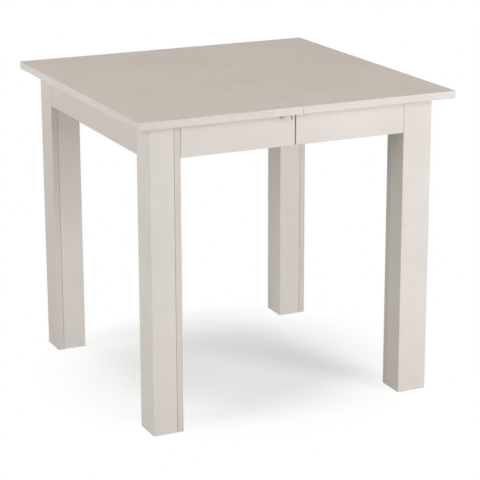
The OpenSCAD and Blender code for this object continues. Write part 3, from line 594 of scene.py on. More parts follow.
def matrices(places, over=0.0, up_to=math.inf):
    """The matrices of the fasteners longer than one length and not longer than another."""
    return [matrix for matrix, length in places if over < length <= up_to]


for matrix, length in fastener_places("left_wood_screws")[:3]:
    print("screw at", tuple(round(v, 4) for v in matrix.translation), "with", round(length, 2), "mm")

# %% [markdown]
# ## Turning on a lathe
#
# Screws, bolts, pins, balls and glides are all turned parts. A lathe in code is a profile of
# radius and height that goes round an axis. Here the radius may also depend on the angle: a
# ridge that climbs as it goes round is a thread, a groove that runs straight up is a flute,
# and six flats make a nut. So one function serves all, and each part is one closed skin. The
# sizes of turned parts are in millimetres, as on a workshop drawing, and the lathe hands
# over metres.

# %% The lathe
def turned(profile, segments=24, shape=None, ring=False):
    """Points and faces of a turned part. The profile lists (radius, height) in millimetres.

    It starts below. shape(angle, radius, height) gives the radius at an angle. A ring joins
    its last round to its first. Any other part gets a flat face at both ends.
    """
    points = []
    for radius, height in profile:
        for i in range(segments):
            angle = 2 * math.pi * i / segments
            r = shape(angle, radius, height) if shape else radius
            points.append((r * math.cos(angle) * MM, r * math.sin(angle) * MM, height * MM))
    rounds = len(profile)
    faces = []
    for row in range(rounds if ring else rounds - 1):
        below, above = row * segments, (row + 1) % rounds * segments
        for i in range(segments):
            j = (i + 1) % segments
            faces.append((below + i, below + j, above + j, above + i))
    if not ring:
        faces.append(tuple(reversed(range(segments))))
        faces.append(tuple(range((rounds - 1) * segments, rounds * segments)))
    return points, faces


def arc(centre_r, centre_h, radius, start, end, steps=4):
    """Profile points on a round, between two angles in degrees. 0 points outward, 90 up."""
    angles = [math.radians(start + (end - start) * i / steps) for i in range(steps + 1)]
    return [(centre_r + radius * math.cos(a), centre_h + radius * math.sin(a)) for a in angles]


def thread(crest, root, pitch):
    """A radius that follows a thread between root and crest."""
    def shape(angle, radius, height):
        wave = (height / pitch - angle / (2 * math.pi)) % 1.0
        return radius - (crest - root) * abs(2 * wave - 1)
    return shape


def flutes(count, depth):
    """A radius with shallow grooves along the part."""
    def shape(angle, radius, height):
        return radius - depth * (0.5 + 0.5 * math.cos(count * angle))
    return shape


print("a plain turned part has", len(turned([(1, 0), (1, 1)])[1]), "faces")

# %% [markdown]
# ## From points to a piece
#
# `copies` puts a turned part at every place that the frame gave and makes one mesh of them.
# `piece` makes that mesh an object: smooth where it's round, sharp where two faces meet at
# an edge.

# %% Meshes and pieces
SHARP = math.radians(32)


def copies(name, part, places):
    """One mesh with the part at each of the places, which are matrices."""
    points, faces = part
    mesh = bpy.data.meshes.new(name)
    all_points = []
    all_faces = []
    for matrix in places:
        shift = len(all_points)
        all_points += [matrix @ Vector(point) for point in points]
        all_faces += [tuple(i + shift for i in face) for face in faces]
    mesh.from_pydata(all_points, [], all_faces)
    mesh.validate()
    return mesh


def joined(name, meshes):
    """One mesh out of several."""
    shape = bmesh.new()
    for mesh in meshes:
        shape.from_mesh(mesh)
        bpy.data.meshes.remove(mesh)
    mesh = bpy.data.meshes.new(name)
    shape.to_mesh(mesh)
    shape.free()
    return mesh


def piece(name, mesh, body, slot, stands_for):
    """An object of the table that rides on a body and takes the place of a plain solid."""
    mesh.shade_smooth()
    mesh.set_sharp_from_angle(angle=SHARP)
    mesh.materials.clear()
    mesh.materials.append(FINISHES[slot])
    made = bpy.data.objects.new(name, mesh)
    bpy.context.scene.collection.objects.link(made)
    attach(made, body)
    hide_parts(stands_for)
    print(name, "has", len(mesh.polygons), "faces")
    return made


print("an edge is sharp from", round(math.degrees(SHARP)), "degrees")

# %% [markdown]
# ## Cutting a recess
#
# A screw head without a recess looks like a button. The cross is cut with a Boolean into one
# master screw, and the copies share the result, because cutting every screw by itself would
# take ten times as long. The cutter narrows to its tip, as the driver does, and its sizes
# are in millimetres too.

# %% Cross and slot cutters
BAR_ABOVE = 0.5
CROSS_ARM = 1.75
CROSS_HALF = 0.42
CROSS_DEPTH = 1.3
CROSS_TIP = 0.35
SLOT_REACH = 8
SLOT_HALF = 0.65
SLOT_DEPTH = 1.5


def bar(outline, depth, tip=1.0):
    """A bar from just above height 0 down to the depth, where its outline shrinks to the tip."""
    count = len(outline)
    corners = [(x * tip, y * tip, -depth) for x, y in outline] + [(x, y, BAR_ABOVE) for x, y in outline]
    points = [(x * MM, y * MM, z * MM) for x, y, z in corners]
    faces = [(i, (i + 1) % count, count + (i + 1) % count, count + i) for i in range(count)]
    return points, faces + [tuple(reversed(range(count))), tuple(range(count, 2 * count))]


def cross_bar():
    quarter = [(CROSS_ARM, -CROSS_HALF), (CROSS_ARM, CROSS_HALF), (CROSS_HALF, CROSS_HALF)]
    outline = []
    for quarter_turn in range(4):
        outline += quarter
        quarter = [(-y, x) for x, y in quarter]
    return bar(outline, CROSS_DEPTH, CROSS_TIP)


def slot_bar():
    outline = [(x * SLOT_REACH, y * SLOT_HALF) for x, y in ((-1, -1), (1, -1), (1, 1), (-1, 1))]
    return bar(outline, SLOT_DEPTH)


def cut(part, cutter_bar):
    """The part with the bar's shape cut out of it."""
    objects = []
    for points, faces in (part, cutter_bar):
        mesh = bpy.data.meshes.new("blank")
        mesh.from_pydata(points, [], faces)
        objects.append(bpy.data.objects.new("blank", mesh))
        bpy.context.scene.collection.objects.link(objects[-1])
    master, cutter = objects
    boolean = master.modifiers.new("recess", "BOOLEAN")
    boolean.operation = "DIFFERENCE"
    boolean.solver = "EXACT"
    boolean.object = cutter
    bpy.context.view_layer.update()
    result = master.evaluated_get(bpy.context.evaluated_depsgraph_get()).to_mesh()
    cut_part = ([tuple(v.co) for v in result.vertices], [tuple(p.vertices) for p in result.polygons])
    for made in objects:
        mesh = made.data
        bpy.data.objects.remove(made)
        bpy.data.meshes.remove(mesh)
    return cut_part


print("the cross cutter has", len(cross_bar()[0]), "points")

# %% [markdown]
# ## Wood screws
#
# Two kinds of wood screw hold the metal to the wood. The pan head stands on the brackets and
# corner plates. The countersunk head sinks into the steel of the runners, so that the slide
# can pass over it. Both have a cross recess, a sharp thread and a point. The top of the head
# is at height 0, because that is the place that the frame gives.

# %% Model the two screws
SCREW_SHANK = 1.75
SCREW_ROOT = 1.15
SCREW_PITCH = 1.3
SCREW_POINT = 3.5
SCREW_TIP = 0.12
SCREW_TIP_THREAD = 0.7
SCREW_HEAD = 3.5
SCREW_FACES = 20
# Below the seat: where the shank's rows end, and how much of it has no thread
SHANK_END = 0.2
PAN_PLAIN = 1.0
FLUSH_PLAIN = 0.8
PAN_HEIGHT = 2.0
PAN_RIM = 0.5
PAN_SEAT_BREAK = 0.3
# Share of the head's radius, and height above its seat
PAN_CROWN = ((0.88, 1.15), (0.68, 1.65), (0.42, 1.92), (0.15, 2.0))
FLUSH_BREAK = 0.12
FLUSH_LIP = 0.02
FLUSH_FLAT = SCREW_HEAD * 0.6
ROWS_A_PITCH = 5


def shank(top, bottom):
    """Profile of a shank from its point up to the height top."""
    rows = int((top - bottom) / SCREW_PITCH * ROWS_A_PITCH)
    heights = [bottom + (top - bottom) * i / rows for i in range(rows + 1)]
    return [(SCREW_SHANK * min(1.0, SCREW_TIP + (h - bottom) / SCREW_POINT), h) for h in heights]


def screw_thread(top):
    """The thread, which ends below the height top and dies away in the point."""
    ridge = thread(SCREW_SHANK, SCREW_ROOT, SCREW_PITCH)

    def shape(angle, radius, height):
        if height > top or radius > SCREW_SHANK * 1.01:
            return radius
        return ridge(angle, radius, height) if radius > SCREW_ROOT else radius * SCREW_TIP_THREAD
    return shape


def pan_head():
    """Profile of a pan head, from under its seat to its top at height 0."""
    seat = -PAN_HEIGHT
    profile = [(SCREW_SHANK, seat), (SCREW_HEAD - PAN_SEAT_BREAK, seat)]
    profile += arc(SCREW_HEAD - PAN_RIM, seat + PAN_RIM, PAN_RIM, -60, 20, 3)
    return profile + [(SCREW_HEAD * share, seat + rise) for share, rise in PAN_CROWN]


def pan_screw(length):
    profile = shank(-PAN_HEIGHT - SHANK_END, -length) + pan_head()
    return cut(turned(profile, SCREW_FACES, screw_thread(-PAN_HEIGHT - PAN_PLAIN)), cross_bar())


def flush_screw(length, sheet):
    """A countersunk screw whose cone is as deep as the sheet that it holds."""
    rim = SCREW_HEAD - FLUSH_BREAK
    profile = shank(-sheet - SHANK_END, -length)
    profile += [(SCREW_SHANK, -sheet), (rim, -FLUSH_BREAK), (rim, -FLUSH_LIP), (FLUSH_FLAT, 0.0)]
    return cut(turned(profile, SCREW_FACES, screw_thread(-sheet - FLUSH_PLAIN)), cross_bar())


print("pan screw:", len(pan_screw(15)[0]), "points")

# %% [markdown]
# The plain solids say which kind goes where: a pan head stands 2 mm above the metal, so that
# screw is longer over all than the 13 mm below its head.

# %% Put the wood screws in
SIDES = ("left", "right")
SCREW_LENGTH = 13
PAN_FROM = SCREW_LENGTH + 1
RUNNER_SHEET = 1.8

for side in SIDES:
    places = fastener_places(side + "_wood_screws")
    mesh = joined(side + "_wood_screws", [
        copies("pan", pan_screw(SCREW_LENGTH + PAN_HEIGHT), matrices(places, over=PAN_FROM)),
        copies("flush", flush_screw(SCREW_LENGTH, RUNNER_SHEET), matrices(places, up_to=PAN_FROM))])
    piece(side + "_cross_head_screws", mesh, side + "_half", "zinc_steel", side + "_wood_screws")

# %% [markdown]
# ## The batten fixings
#
# Each angle that carries a batten is held by two short bolts through the runner and by two
# wood screws. The bolts have a pan head outside and a swaged disc inside, where a nut would
# foul the cage. They are about as wide as they are long, so their box can't give the axis.
# It runs along Y, from each runner towards the middle.

# %% Put the batten screws in
PAN_BOLT_LENGTH = 6.8
DISC_HEIGHT = 1.0
DISC_ROUND = 0.2


def pan_bolt(length):
    profile = arc(SCREW_HEAD - DISC_ROUND, -length + DISC_ROUND, DISC_ROUND, -90, 0, 2)
    profile += [(SCREW_HEAD, -length + DISC_HEIGHT), (SCREW_SHANK, -length + DISC_HEIGHT)]
    return cut(turned(profile + pan_head()), cross_bar())


upright = matrices(fastener_places("batten_screws"), over=SCREW_LENGTH)
sideways = []
for points in solids("batten_screws"):
    low, high = points.min(0), points.max(0)
    if high[2] - low[2] < SCREW_LENGTH * MM:
        toward_middle = -1.0 if low[1] > 0 else 1.0
        tip = box_middle(points)
        tip[1] = low[1] if toward_middle < 0 else high[1]
        sideways.append(outward_matrix(tip, (0.0, toward_middle, 0.0)))
mesh = joined("batten_screws", [
    copies("pan", pan_screw(SCREW_LENGTH + PAN_HEIGHT), upright),
    copies("bolt", pan_bolt(PAN_BOLT_LENGTH), sideways)])
piece("batten_cross_head_screws", mesh, "leaf_carrier", "zinc_steel", "batten_screws")

# %% [markdown]
# ## Corner bolts
#
# A hanger bolt holds each leg. One end has a coarse wood thread that bites into the core of
# the leg, and the other a fine thread for the nut. Both come from the lathe: the height
# decides which of the two ridges the radius follows.

# %% Model the hanger bolt
BOLT = 4.0
FINE_ROOT = 3.35
FINE_PITCH = 1.25
FINE_THREAD = 29
FINE_END = 0.8
WOOD_ROOT = BOLT * 0.68
WOOD_PITCH = 3.0
WOOD_THREAD = 34
# The share of the radius at the very tip. The cone is a sixth of the wood thread
WOOD_TIP = 0.2
WOOD_CONES = 6
WOOD_LEAST = 0.6
BOLT_PLAIN_FROM = 1
# Share of the radius, and how far below the flat top
BOLT_TOP = ((0.85, 0.25), (0.78, 0.0))


def hanger_bolt(length):
    """A bolt from its wood point at -length to its flat top at 0."""
    wood_top = -length + WOOD_THREAD
    wood_rows = int(WOOD_THREAD / WOOD_PITCH * ROWS_A_PITCH * 2)
    fine_rows = int(FINE_THREAD / FINE_PITCH * ROWS_A_PITCH)
    profile = []
    for i in range(wood_rows + 1):
        cone = min(1.0, WOOD_TIP + (1 - WOOD_TIP) * i / wood_rows * WOOD_CONES)
        profile.append((BOLT * cone, -length + WOOD_THREAD * i / wood_rows))
    profile += [(BOLT, wood_top + BOLT_PLAIN_FROM), (BOLT, -FINE_THREAD - BOLT_PLAIN_FROM)]
    for i in range(fine_rows + 1):
        profile.append((BOLT, -FINE_THREAD + (FINE_THREAD - FINE_END) * i / fine_rows))
    profile += [(BOLT * share, -below) for share, below in BOLT_TOP]
    fine = thread(BOLT, FINE_ROOT, FINE_PITCH)
    wood = thread(BOLT, WOOD_ROOT, WOOD_PITCH)

    def shape(angle, radius, height):
        if height < wood_top:
            return max(wood(angle, radius, height), radius * WOOD_LEAST)
        if -FINE_THREAD <= height < -FINE_END - 0.1:
            return fine(angle, radius, height)
        return radius
    return turned(profile, 24, shape)


print("hanger bolt:", len(hanger_bolt(80)[1]), "faces")

# %% [markdown]
# ## Nuts and washers
#
# Each nut draws the corner plate in over a washer. A nut isn't a plain hexagon: both its
# faces are turned to a cone, which takes the six corners off. On the lathe the radius is the
# smaller of the flat and the cone. A washer is punched, and the punch rounds one of its rims.

# %% Model the nut and the washer
NUT_FLATS = 6.5
NUT_HEIGHT = 6.5
NUT_CHAMFER = 0.9
NUT_RIM = NUT_FLATS * 0.97
NUT_CROWN = 0.8
NUT_BORE_BREAK = 0.5
WASHER = 9.0
WASHER_HEIGHT = 1.6
WASHER_PLAY = 0.25
WASHER_ROUND = 0.5
WASHER_BREAK = 0.15
WASHER_DRAFT = 0.1
HALF_FLAT = math.radians(30)


def hex_nut():
    """A nut from its base at height 0, with both faces chamfered at the corners."""
    corner = NUT_FLATS / math.cos(HALF_FLAT)

    def shape(angle, radius, height):
        if radius < corner:
            return radius
        from_flat = (angle + HALF_FLAT) % (2 * HALF_FLAT) - HALF_FLAT
        from_face = min(height, NUT_HEIGHT - height)
        cone = NUT_RIM + (corner - NUT_RIM) * min(1.0, from_face / NUT_CHAMFER) ** NUT_CROWN
        return min(NUT_FLATS / math.cos(from_flat), cone)
    steps = [NUT_CHAMFER * i / 4 for i in range(5)]
    profile = [(corner, step) for step in steps]
    profile += [(corner, NUT_HEIGHT - step) for step in reversed(steps)]
    profile += [(BOLT + NUT_BORE_BREAK, NUT_HEIGHT), (BOLT, NUT_HEIGHT - NUT_BORE_BREAK),
                (BOLT, NUT_BORE_BREAK), (BOLT + NUT_BORE_BREAK, 0.0)]
    return turned(profile, 48, shape, ring=True)


def washer():
    inner = BOLT + WASHER_PLAY
    profile = [(inner, 0.0), (WASHER - WASHER_DRAFT, 0.0)]
    profile += arc(WASHER - WASHER_ROUND, WASHER_HEIGHT - WASHER_ROUND, WASHER_ROUND, 0, 90)
    profile += [(inner + WASHER_BREAK, WASHER_HEIGHT), (inner, WASHER_HEIGHT - WASHER_BREAK)]
    return turned(profile, 40, ring=True)


print("nut faces:", len(hex_nut()[1]), "and washer faces:", len(washer()[1]))

# %% [markdown]
# The bolts lie on the diagonals, so their boxes don't show the axis. It runs from the leg
# towards the middle of the table, and the solid's points, measured along that direction,
# give its two ends. Bolt and nut share the line, so both use the same function.

# %% Put bolts, nuts and washers in
def on_diagonal(points):
    """The direction to the table's middle, the solid's two ends along it, and its length."""
    middle = box_middle(points)
    inward = Vector((-math.copysign(1, middle[0]), -math.copysign(1, middle[1]), 0)).normalized()
    along = np.array(inward)
    spans = points @ along
    start, end = (middle + along * (span - middle @ along) for span in (spans.min(), spans.max()))
    return inward, start, end, float(spans.max() - spans.min()) / MM


for side in SIDES:
    bolts = [on_diagonal(points) for points in solids(side + "_corner_bolts")]
    tips = [outward_matrix(end, inward) for inward, start, end, length in bolts]
    mesh = copies("bolts", hanger_bolt(bolts[0][3]), tips)
    piece(side + "_hanger_bolts", mesh, side + "_half", "zinc_steel", side + "_corner_bolts")
    stacks = [on_diagonal(points) for points in solids(side + "_corner_nuts")]
    washers = [outward_matrix(start, inward) for inward, start, end, length in stacks]
    nuts = [base @ Matrix.Translation((0, 0, WASHER_HEIGHT * MM)) for base in washers]
    mesh = joined(side + "_corner_nuts", [
        copies("washers", washer(), washers), copies("nuts", hex_nut(), nuts)])
    piece(side + "_nuts_and_washers", mesh, side + "_half", "zinc_steel", side + "_corner_nuts")

# %% [markdown]
# ## Pins and dowels
#
# Fluted pins are pressed into the seam edge of the left half, and their smooth ends slip into
# bores in the right half, so that the two faces stay level. The folded leaf has the same
# pins for when it lies between the halves. The dowels in the joints are beech with flutes
# along all their length, which let the glue and the air out.

# %% Model pins and dowels
PIN = 4.0
PIN_SEAT = 14
PIN_OUT = 10
PIN_FLUTES_TO = 11
PIN_BREAK = 0.8
# How far the nose has drawn in, and how far below the tip
PIN_NOSE = ((0.0, 2.0), (0.45, 0.9), (1.0, 0.25), (1.5, 0.0))
PIN_FLUTE = 0.3
DOWEL_NARROW = 1.1
DOWEL_CONE = 1.2


def seam_pin():
    """A pin with its tip at height 0, fluted where it sits in the board."""
    total = PIN_SEAT + PIN_OUT
    profile = [(PIN - PIN_BREAK, -total), (PIN, -total + PIN_BREAK), (PIN, -PIN_FLUTES_TO - 0.2),
               (PIN, -PIN_FLUTES_TO + 0.1)]
    profile += [(PIN - drawn_in, -below) for drawn_in, below in PIN_NOSE]
    groove = flutes(16, PIN_FLUTE)

    def shape(angle, radius, height):
        return groove(angle, radius, height) if height < -PIN_FLUTES_TO else radius
    return turned(profile, 64, shape)


def dowel(length):
    narrow = PIN - DOWEL_NARROW
    profile = [(narrow, -length), (PIN, -length + DOWEL_CONE), (PIN, -DOWEL_CONE), (narrow, 0.0)]
    return turned(profile, 60, flutes(20, PIN_FLUTE))


def pin_places(node):
    """The tips of pins that point along +X."""
    tips = [(points.max(0)[0], *box_middle(points)[1:]) for points in solids(node)]
    return [outward_matrix(tip, (1.0, 0.0, 0.0)) for tip in tips]


for name, body in (("seam_pins", "left_half"), ("leaf_pins", "leaf")):
    piece("fluted_" + name, copies(name, seam_pin(), pin_places(name)), body, "nylon", name)
for side in SIDES:
    places = fastener_places(side + "_dowels")
    mesh = copies("dowels", dowel(places[0][1]), matrices(places))
    piece(side + "_fluted_dowels", mesh, side + "_half", "beech", side + "_dowels")

# %% [markdown]
# ## Glides
#
# A nylon glide under each foot lets the table slide without scratching the floor. It has a
# rounded rim, a shallow ring in its sole that holds a film of dust instead of the floor, and
# a peg with barbs that grip in the plug of the leg.

# %% Model the glides
GLIDE = 14
GLIDE_HEIGHT = 2
GLIDE_ROUND = 1.0
GLIDE_BREAK = 0.3
# The hollow middle and the dust ring of the sole
GLIDE_SOLE = ((4.0, 0.25), (5.0, 0.0), (9.0, 0.0), (9.4, 0.2), (10.2, 0.2), (10.6, 0.0))
PEG = 3
PEG_LENGTH = 10
# How far the peg's nose has drawn in, and how far below its tip
PEG_NOSE = ((0.4, 0.8), (1.2, 0.0))
BARBS = 4
BARB_DEPTH = 0.45
# Shares of the step from barb to barb: where the first one starts, and how long each is
BARB_START = 0.6
BARB_LONG = 0.75


def glide():
    profile = [*GLIDE_SOLE, (GLIDE - GLIDE_ROUND, 0.0)]
    profile += arc(GLIDE - GLIDE_ROUND, GLIDE_ROUND, GLIDE_ROUND, -75, 0, 5)
    profile += [(GLIDE, GLIDE_HEIGHT - GLIDE_BREAK), (GLIDE - GLIDE_BREAK, GLIDE_HEIGHT),
                (PEG, GLIDE_HEIGHT)]
    step = PEG_LENGTH / (BARBS + 1)
    for i in range(BARBS):
        height = GLIDE_HEIGHT + step * (i + BARB_START)
        profile += [(PEG, height), (PEG - BARB_DEPTH, height + step * BARB_LONG)]
    top = GLIDE_HEIGHT + PEG_LENGTH
    profile += [(PEG - drawn_in, top - below) for drawn_in, below in PEG_NOSE]
    return turned(profile, 48)


for side in SIDES:
    feet = [Matrix.Translation((*box_middle(points)[:2], 0.0)) for points in solids(side + "_glides")]
    piece(side + "_barbed_glides", copies("glides", glide(), feet),
          side + "_half", "nylon", side + "_glides")

# %% [markdown]
# ## Soft edges on stamped parts
#
# Sheet steel leaves the press with a slight round on its edges, and moulded nylon has a round
# everywhere. Those rounds catch the light on a small part. The solids have their bends and
# bores, but sharp edges between them. So each of these parts is copied, triangles in one
# plane are joined to a whole face again, and a bevel rounds every edge where faces meet at a
# clear angle. The flat faces beside a round would look puffed up, so a Weighted Normal
# modifier lets the large faces decide how light falls.

# %% Round the edges of a copied solid
CLEAR_ANGLE = math.radians(40)
ONE_PLANE = math.radians(0.5)
ROUND_STEPS = 2
FLAT_SHARP = math.radians(50)


def rounded_edges(name, shape, width):
    """The bmesh as a mesh whose clear edges are rounded to the width. Frees the bmesh."""
    bmesh.ops.dissolve_limit(shape, angle_limit=ONE_PLANE, verts=shape.verts, edges=shape.edges)
    edges = [edge for edge in shape.edges if edge.is_manifold and edge.calc_face_angle() > CLEAR_ANGLE]
    bmesh.ops.bevel(shape, geom=edges, offset=width, offset_type="OFFSET", segments=ROUND_STEPS,
                    profile=0.5, affect="EDGES", clamp_overlap=True)
    bmesh.ops.triangulate(shape, faces=[face for face in shape.faces if len(face.verts) > 4])
    mesh = bpy.data.meshes.new(name)
    shape.to_mesh(mesh)
    shape.free()
    return mesh


def flatten_faces(made):
    """Flat faces stay flat to the light, and only the rounds between them turn it."""
    made.data.set_sharp_from_angle(angle=FLAT_SHARP)
    even = made.modifiers.new("even_faces", "WEIGHTED_NORMAL")
    even.keep_sharp = True


print("edges over", round(math.degrees(CLEAR_ANGLE)), "degrees get a round")

# %% [markdown]
# Three widths are enough for all of these parts. The plates, brackets and hangers are thick
# sheet, the wings of the hinges are thin, and nylon leaves its mould with the widest round.

# %% Round the pressed and moulded parts
PLATE_ROUND = 0.35 * MM
WING_ROUND = 0.2 * MM
NYLON_ROUND = 0.8 * MM


def soft_part(name, width, body, slot, node):
    flatten_faces(piece(name, rounded_edges(name, copied_solid(node), width), body, slot, node))


for side in SIDES:
    for name, node in (("_pressed_plates", "_corner_plates"), ("_bent_brackets", "_top_brackets")):
        soft_part(side + name, PLATE_ROUND, side + "_half", "zinc_steel", side + node)
soft_part("bent_batten_hangers", PLATE_ROUND, "leaf_carrier", "zinc_steel", "batten_brackets")
soft_part("rolled_hinge_wings", WING_ROUND, "leaf", "zinc_steel", "leaf_hinge_wings")
soft_part("moulded_leaf_stops", NYLON_ROUND, "leaf_carrier", "nylon", "leaf_stops")

# %% [markdown]
# ## Hinges of the folded leaf
#
# The wings of a leaf hinge are rolled round a pin, and the ends of the pin are peened: a few
# light blows spread them, so that it can't slip out. The screws are the countersunk ones
# again, for a thinner sheet, and the two wings can close on them.

# %% Put the hinge pins and screws in
HINGE_PIN = 1.0
HINGE_SHEET = 1.2
HINGE_PIN_FROM = 2 * SCREW_LENGTH
PEENED = 0.25
# Share of the radius, and share of the peened length below the end
PEENED_END = ((1.0, 1.0), (0.85, 0.4), (0.5, 0.0))


def hinge_pin(length):
    top = [(HINGE_PIN * share, -PEENED * below) for share, below in PEENED_END]
    bottom = [(radius, -length - height) for radius, height in reversed(top)]
    return turned(bottom + top, 20)


places = fastener_places("leaf_hinge_pins")
pin_length = max(length for matrix, length in places)
mesh = joined("leaf_hinge_pins", [
    copies("pins", hinge_pin(pin_length), matrices(places, over=HINGE_PIN_FROM)),
    copies("screws", flush_screw(SCREW_LENGTH, HINGE_SHEET), matrices(places, up_to=HINGE_PIN_FROM))])
piece("hinge_pins_and_screws", mesh, "leaf", "zinc_steel", "leaf_hinge_pins")

# %% [markdown]
# ## Seam catches
#
# Under the front and the back edge of the top a flat hook turns on a pivot screw and grips a
# stud across the seam. The photograph shows the front one's pivot and finger pin as two small
# marks. The pivot is a slotted screw with a high, slightly tapered head, and a washer keeps
# the lever off the board. The stud has a low domed head.

# %% Model the pivots and the studs
BROKEN_EDGE = 0.15
SHANK_BREAK = 0.6
PIVOT_SHANK = 3.0
PIVOT_HEAD = 6.3
PIVOT_HEAD_TIP = 5.62
PIVOT_HEAD_HEIGHT = 4.0
PIVOT_HEAD_ROUND = 0.6
PIVOT_WASHER_FROM = 6.6
PIVOT_WASHER_TO = 7.8
STUD_SHANK = 2.5
STUD_HEAD = 4.5
STUD_HEAD_HEIGHT = 1.5
STUD_DOME = (0.0, 0.35, 0.6, 0.8, 0.95)
STUD_FLAT = 0.12


def shank_and_seat(shank_radius, length, seat_radius, seat):
    """Profile of a plain shank up to its seat, where the wider head or washer begins."""
    return [(shank_radius - SHANK_BREAK, -length), (shank_radius, -length + SHANK_BREAK),
            (shank_radius, -seat), (seat_radius - BROKEN_EDGE, -seat), (seat_radius, -seat + BROKEN_EDGE)]


def pivot(length):
    """A slotted screw with its washer. Its tip is at height 0, and it goes down to -length."""
    profile = shank_and_seat(PIVOT_SHANK, length, PIVOT_HEAD, PIVOT_WASHER_TO)
    profile += [(PIVOT_HEAD, -PIVOT_WASHER_FROM - BROKEN_EDGE),
                (PIVOT_HEAD - BROKEN_EDGE, -PIVOT_WASHER_FROM), (PIVOT_SHANK, -PIVOT_WASHER_FROM)]
    profile += shank_and_seat(PIVOT_SHANK, length, PIVOT_HEAD, PIVOT_HEAD_HEIGHT)[2:]
    profile += arc(PIVOT_HEAD_TIP - PIVOT_HEAD_ROUND, -PIVOT_HEAD_ROUND, PIVOT_HEAD_ROUND, 10, 80)
    profile.append((PIVOT_HEAD_TIP - 2 * PIVOT_HEAD_ROUND, 0.0))
    return cut(turned(profile, 48), slot_bar())


def stud(length):
    profile = shank_and_seat(STUD_SHANK, length, STUD_HEAD, STUD_HEAD_HEIGHT)
    rise = STUD_HEAD_HEIGHT - 2 * BROKEN_EDGE
    profile += [(STUD_HEAD * math.sqrt(1 - d * d), -rise * (1 - d)) for d in STUD_DOME]
    profile.append((STUD_HEAD * STUD_FLAT, 0.0))
    return turned(profile, 40)


for name, node, maker, body in (("slotted_catch_pivots", "catch_pivots", pivot, "left_half"),
                                ("domed_catch_studs", "catch_studs", stud, "right_half")):
    places = fastener_places(node)
    piece(name, copies(node, maker(places[0][1]), matrices(places)), body, "catch_steel", node)

# %% [markdown]
# ## The hook levers
#
# The lever is punched from sheet, and its finger pin is riveted in from below. The plain
# solid has the two fused. So the faces below the sheet are taken away, the round hole that
# is left is closed, and a turned pin goes to the same place. Its diamond knurl is two sets
# of grooves that climb the pin in opposite directions.

# %% Model the hook levers with their knurled pins
KNURL_AROUND = 14
KNURL_RISE = 1.4
KNURL_DEPTH = 0.22
KNURL_FROM = 0.9
KNURL_TO = 7.4
KNURL_ROWS = 30
# How far the rounded end has drawn in, and how far above the end
KNURL_END = ((0.9, 0.0), (0.35, 0.12), (0.08, 0.45))
PIN_NECK = 0.5
# Above the knurl: where the neck begins, and where it has its full depth
NECK_FROM = 0.2
NECK_FULL = 0.7
LEVER_ROUND = 0.3 * MM


def knurled_pin(radius, length):
    """A pin that hangs down from height 0, with its knurl near the lower end."""
    step = (KNURL_TO - KNURL_FROM) / KNURL_ROWS

    def groove(angle, plain, height):
        above_end = height + length
        if not KNURL_FROM + step / 2 < above_end < KNURL_TO - step / 2:
            return plain
        around = KNURL_AROUND * angle / (2 * math.pi)
        waves = [abs(2 * ((around + way * above_end / KNURL_RISE) % 1.0) - 1) for way in (1, -1)]
        return plain - KNURL_DEPTH * max(waves) ** 3
    rows = [KNURL_FROM + step * i for i in range(KNURL_ROWS + 1)]
    profile = [(radius - drawn_in, -length + above) for drawn_in, above in KNURL_END]
    profile += [(radius, -length + row) for row in rows] + [(radius, -length + KNURL_TO + NECK_FROM)]
    profile += [(radius - PIN_NECK, -length + KNURL_TO + NECK_FULL), (radius - PIN_NECK, 0.0)]
    return turned(profile, KNURL_AROUND * 6, groove)


for node in ("front_catch", "back_catch"):
    shape = copied_solid(node)
    pin_foot, underside = sorted({round(vertex.co.z, 5) for vertex in shape.verts})[:2]
    pin_end = [vertex.co.copy() for vertex in shape.verts if vertex.co.z < underside - WELD]
    middle = sum(pin_end, Vector()) / len(pin_end)
    radius = max((point - middle).length for point in pin_end) / MM
    length = (underside - pin_foot) / MM
    below = [face for face in shape.faces if min(v.co.z for v in face.verts) < underside - WELD]
    bmesh.ops.delete(shape, geom=below, context="FACES")
    bmesh.ops.holes_fill(shape, edges=[edge for edge in shape.edges if edge.is_boundary], sides=0)
    lever = rounded_edges(node, shape, LEVER_ROUND)
    pin_top = Matrix.Translation((middle.x, middle.y, underside))
    mesh = joined(node, [lever, copies("pin", knurled_pin(radius, length), [pin_top])])
    name = node.replace("catch", "hook_lever")
    flatten_faces(piece(name, mesh, node, "catch_steel", node))
    print(name, "finger pin: radius", round(radius, 2), "and length", round(length, 2), "mm")

# %% [markdown]
# ## Balls of the runners
#
# Forty ground steel balls roll in the pressed races of the runners. The plain solids are
# balls too, but their facets show in a mirror finish. These are an arc on the lathe, in
# steps of an even angle, so that the outline and the reflections stay round.

# %% Model the balls
BALL = 2.4
BALL_RINGS = 14
BALL_CAP = 84


def ball():
    return turned(arc(0.0, 0.0, BALL, -BALL_CAP, BALL_CAP, BALL_RINGS))


for side in SIDES:
    spots = [Matrix.Translation(Vector(box_middle(points))) for points in solids(side + "_balls")]
    piece(side + "_ground_balls", copies("balls", ball(), spots),
          side + "_cages", "ball_steel", side + "_balls")

# %% [markdown]
# ## Rays that see a white studio
#
# The table stands on a white floor that runs into a white background. Plain white paint
# would look greyer than the photograph's, and more light would spoil the table. So what the
# camera sees of floor and air is made lighter than they are, and mirror and glass rays see
# the same. The light that they throw back at the table stays as it is.

# %% Rays and glow
def sight_rays(material):
    """A value that is 1 for rays from the camera, a mirror or glass, and 0 for the rest."""
    path = add(material, "ShaderNodeLightPath").outputs
    pair = math_of(material, "MAXIMUM", path["Is Camera Ray"], path["Is Glossy Ray"])
    return math_of(material, "MAXIMUM", pair, path["Is Transmission Ray"])


def mix(material, amount, first, second):
    """One shader, the other, or some of both."""
    return add(material, "ShaderNodeMixShader", {0: amount, 1: first, 2: second}).outputs[0]


def glow(material, strength):
    return add(material, "ShaderNodeEmission", {"Strength": strength}).outputs[0]


print("rays and glow ready")

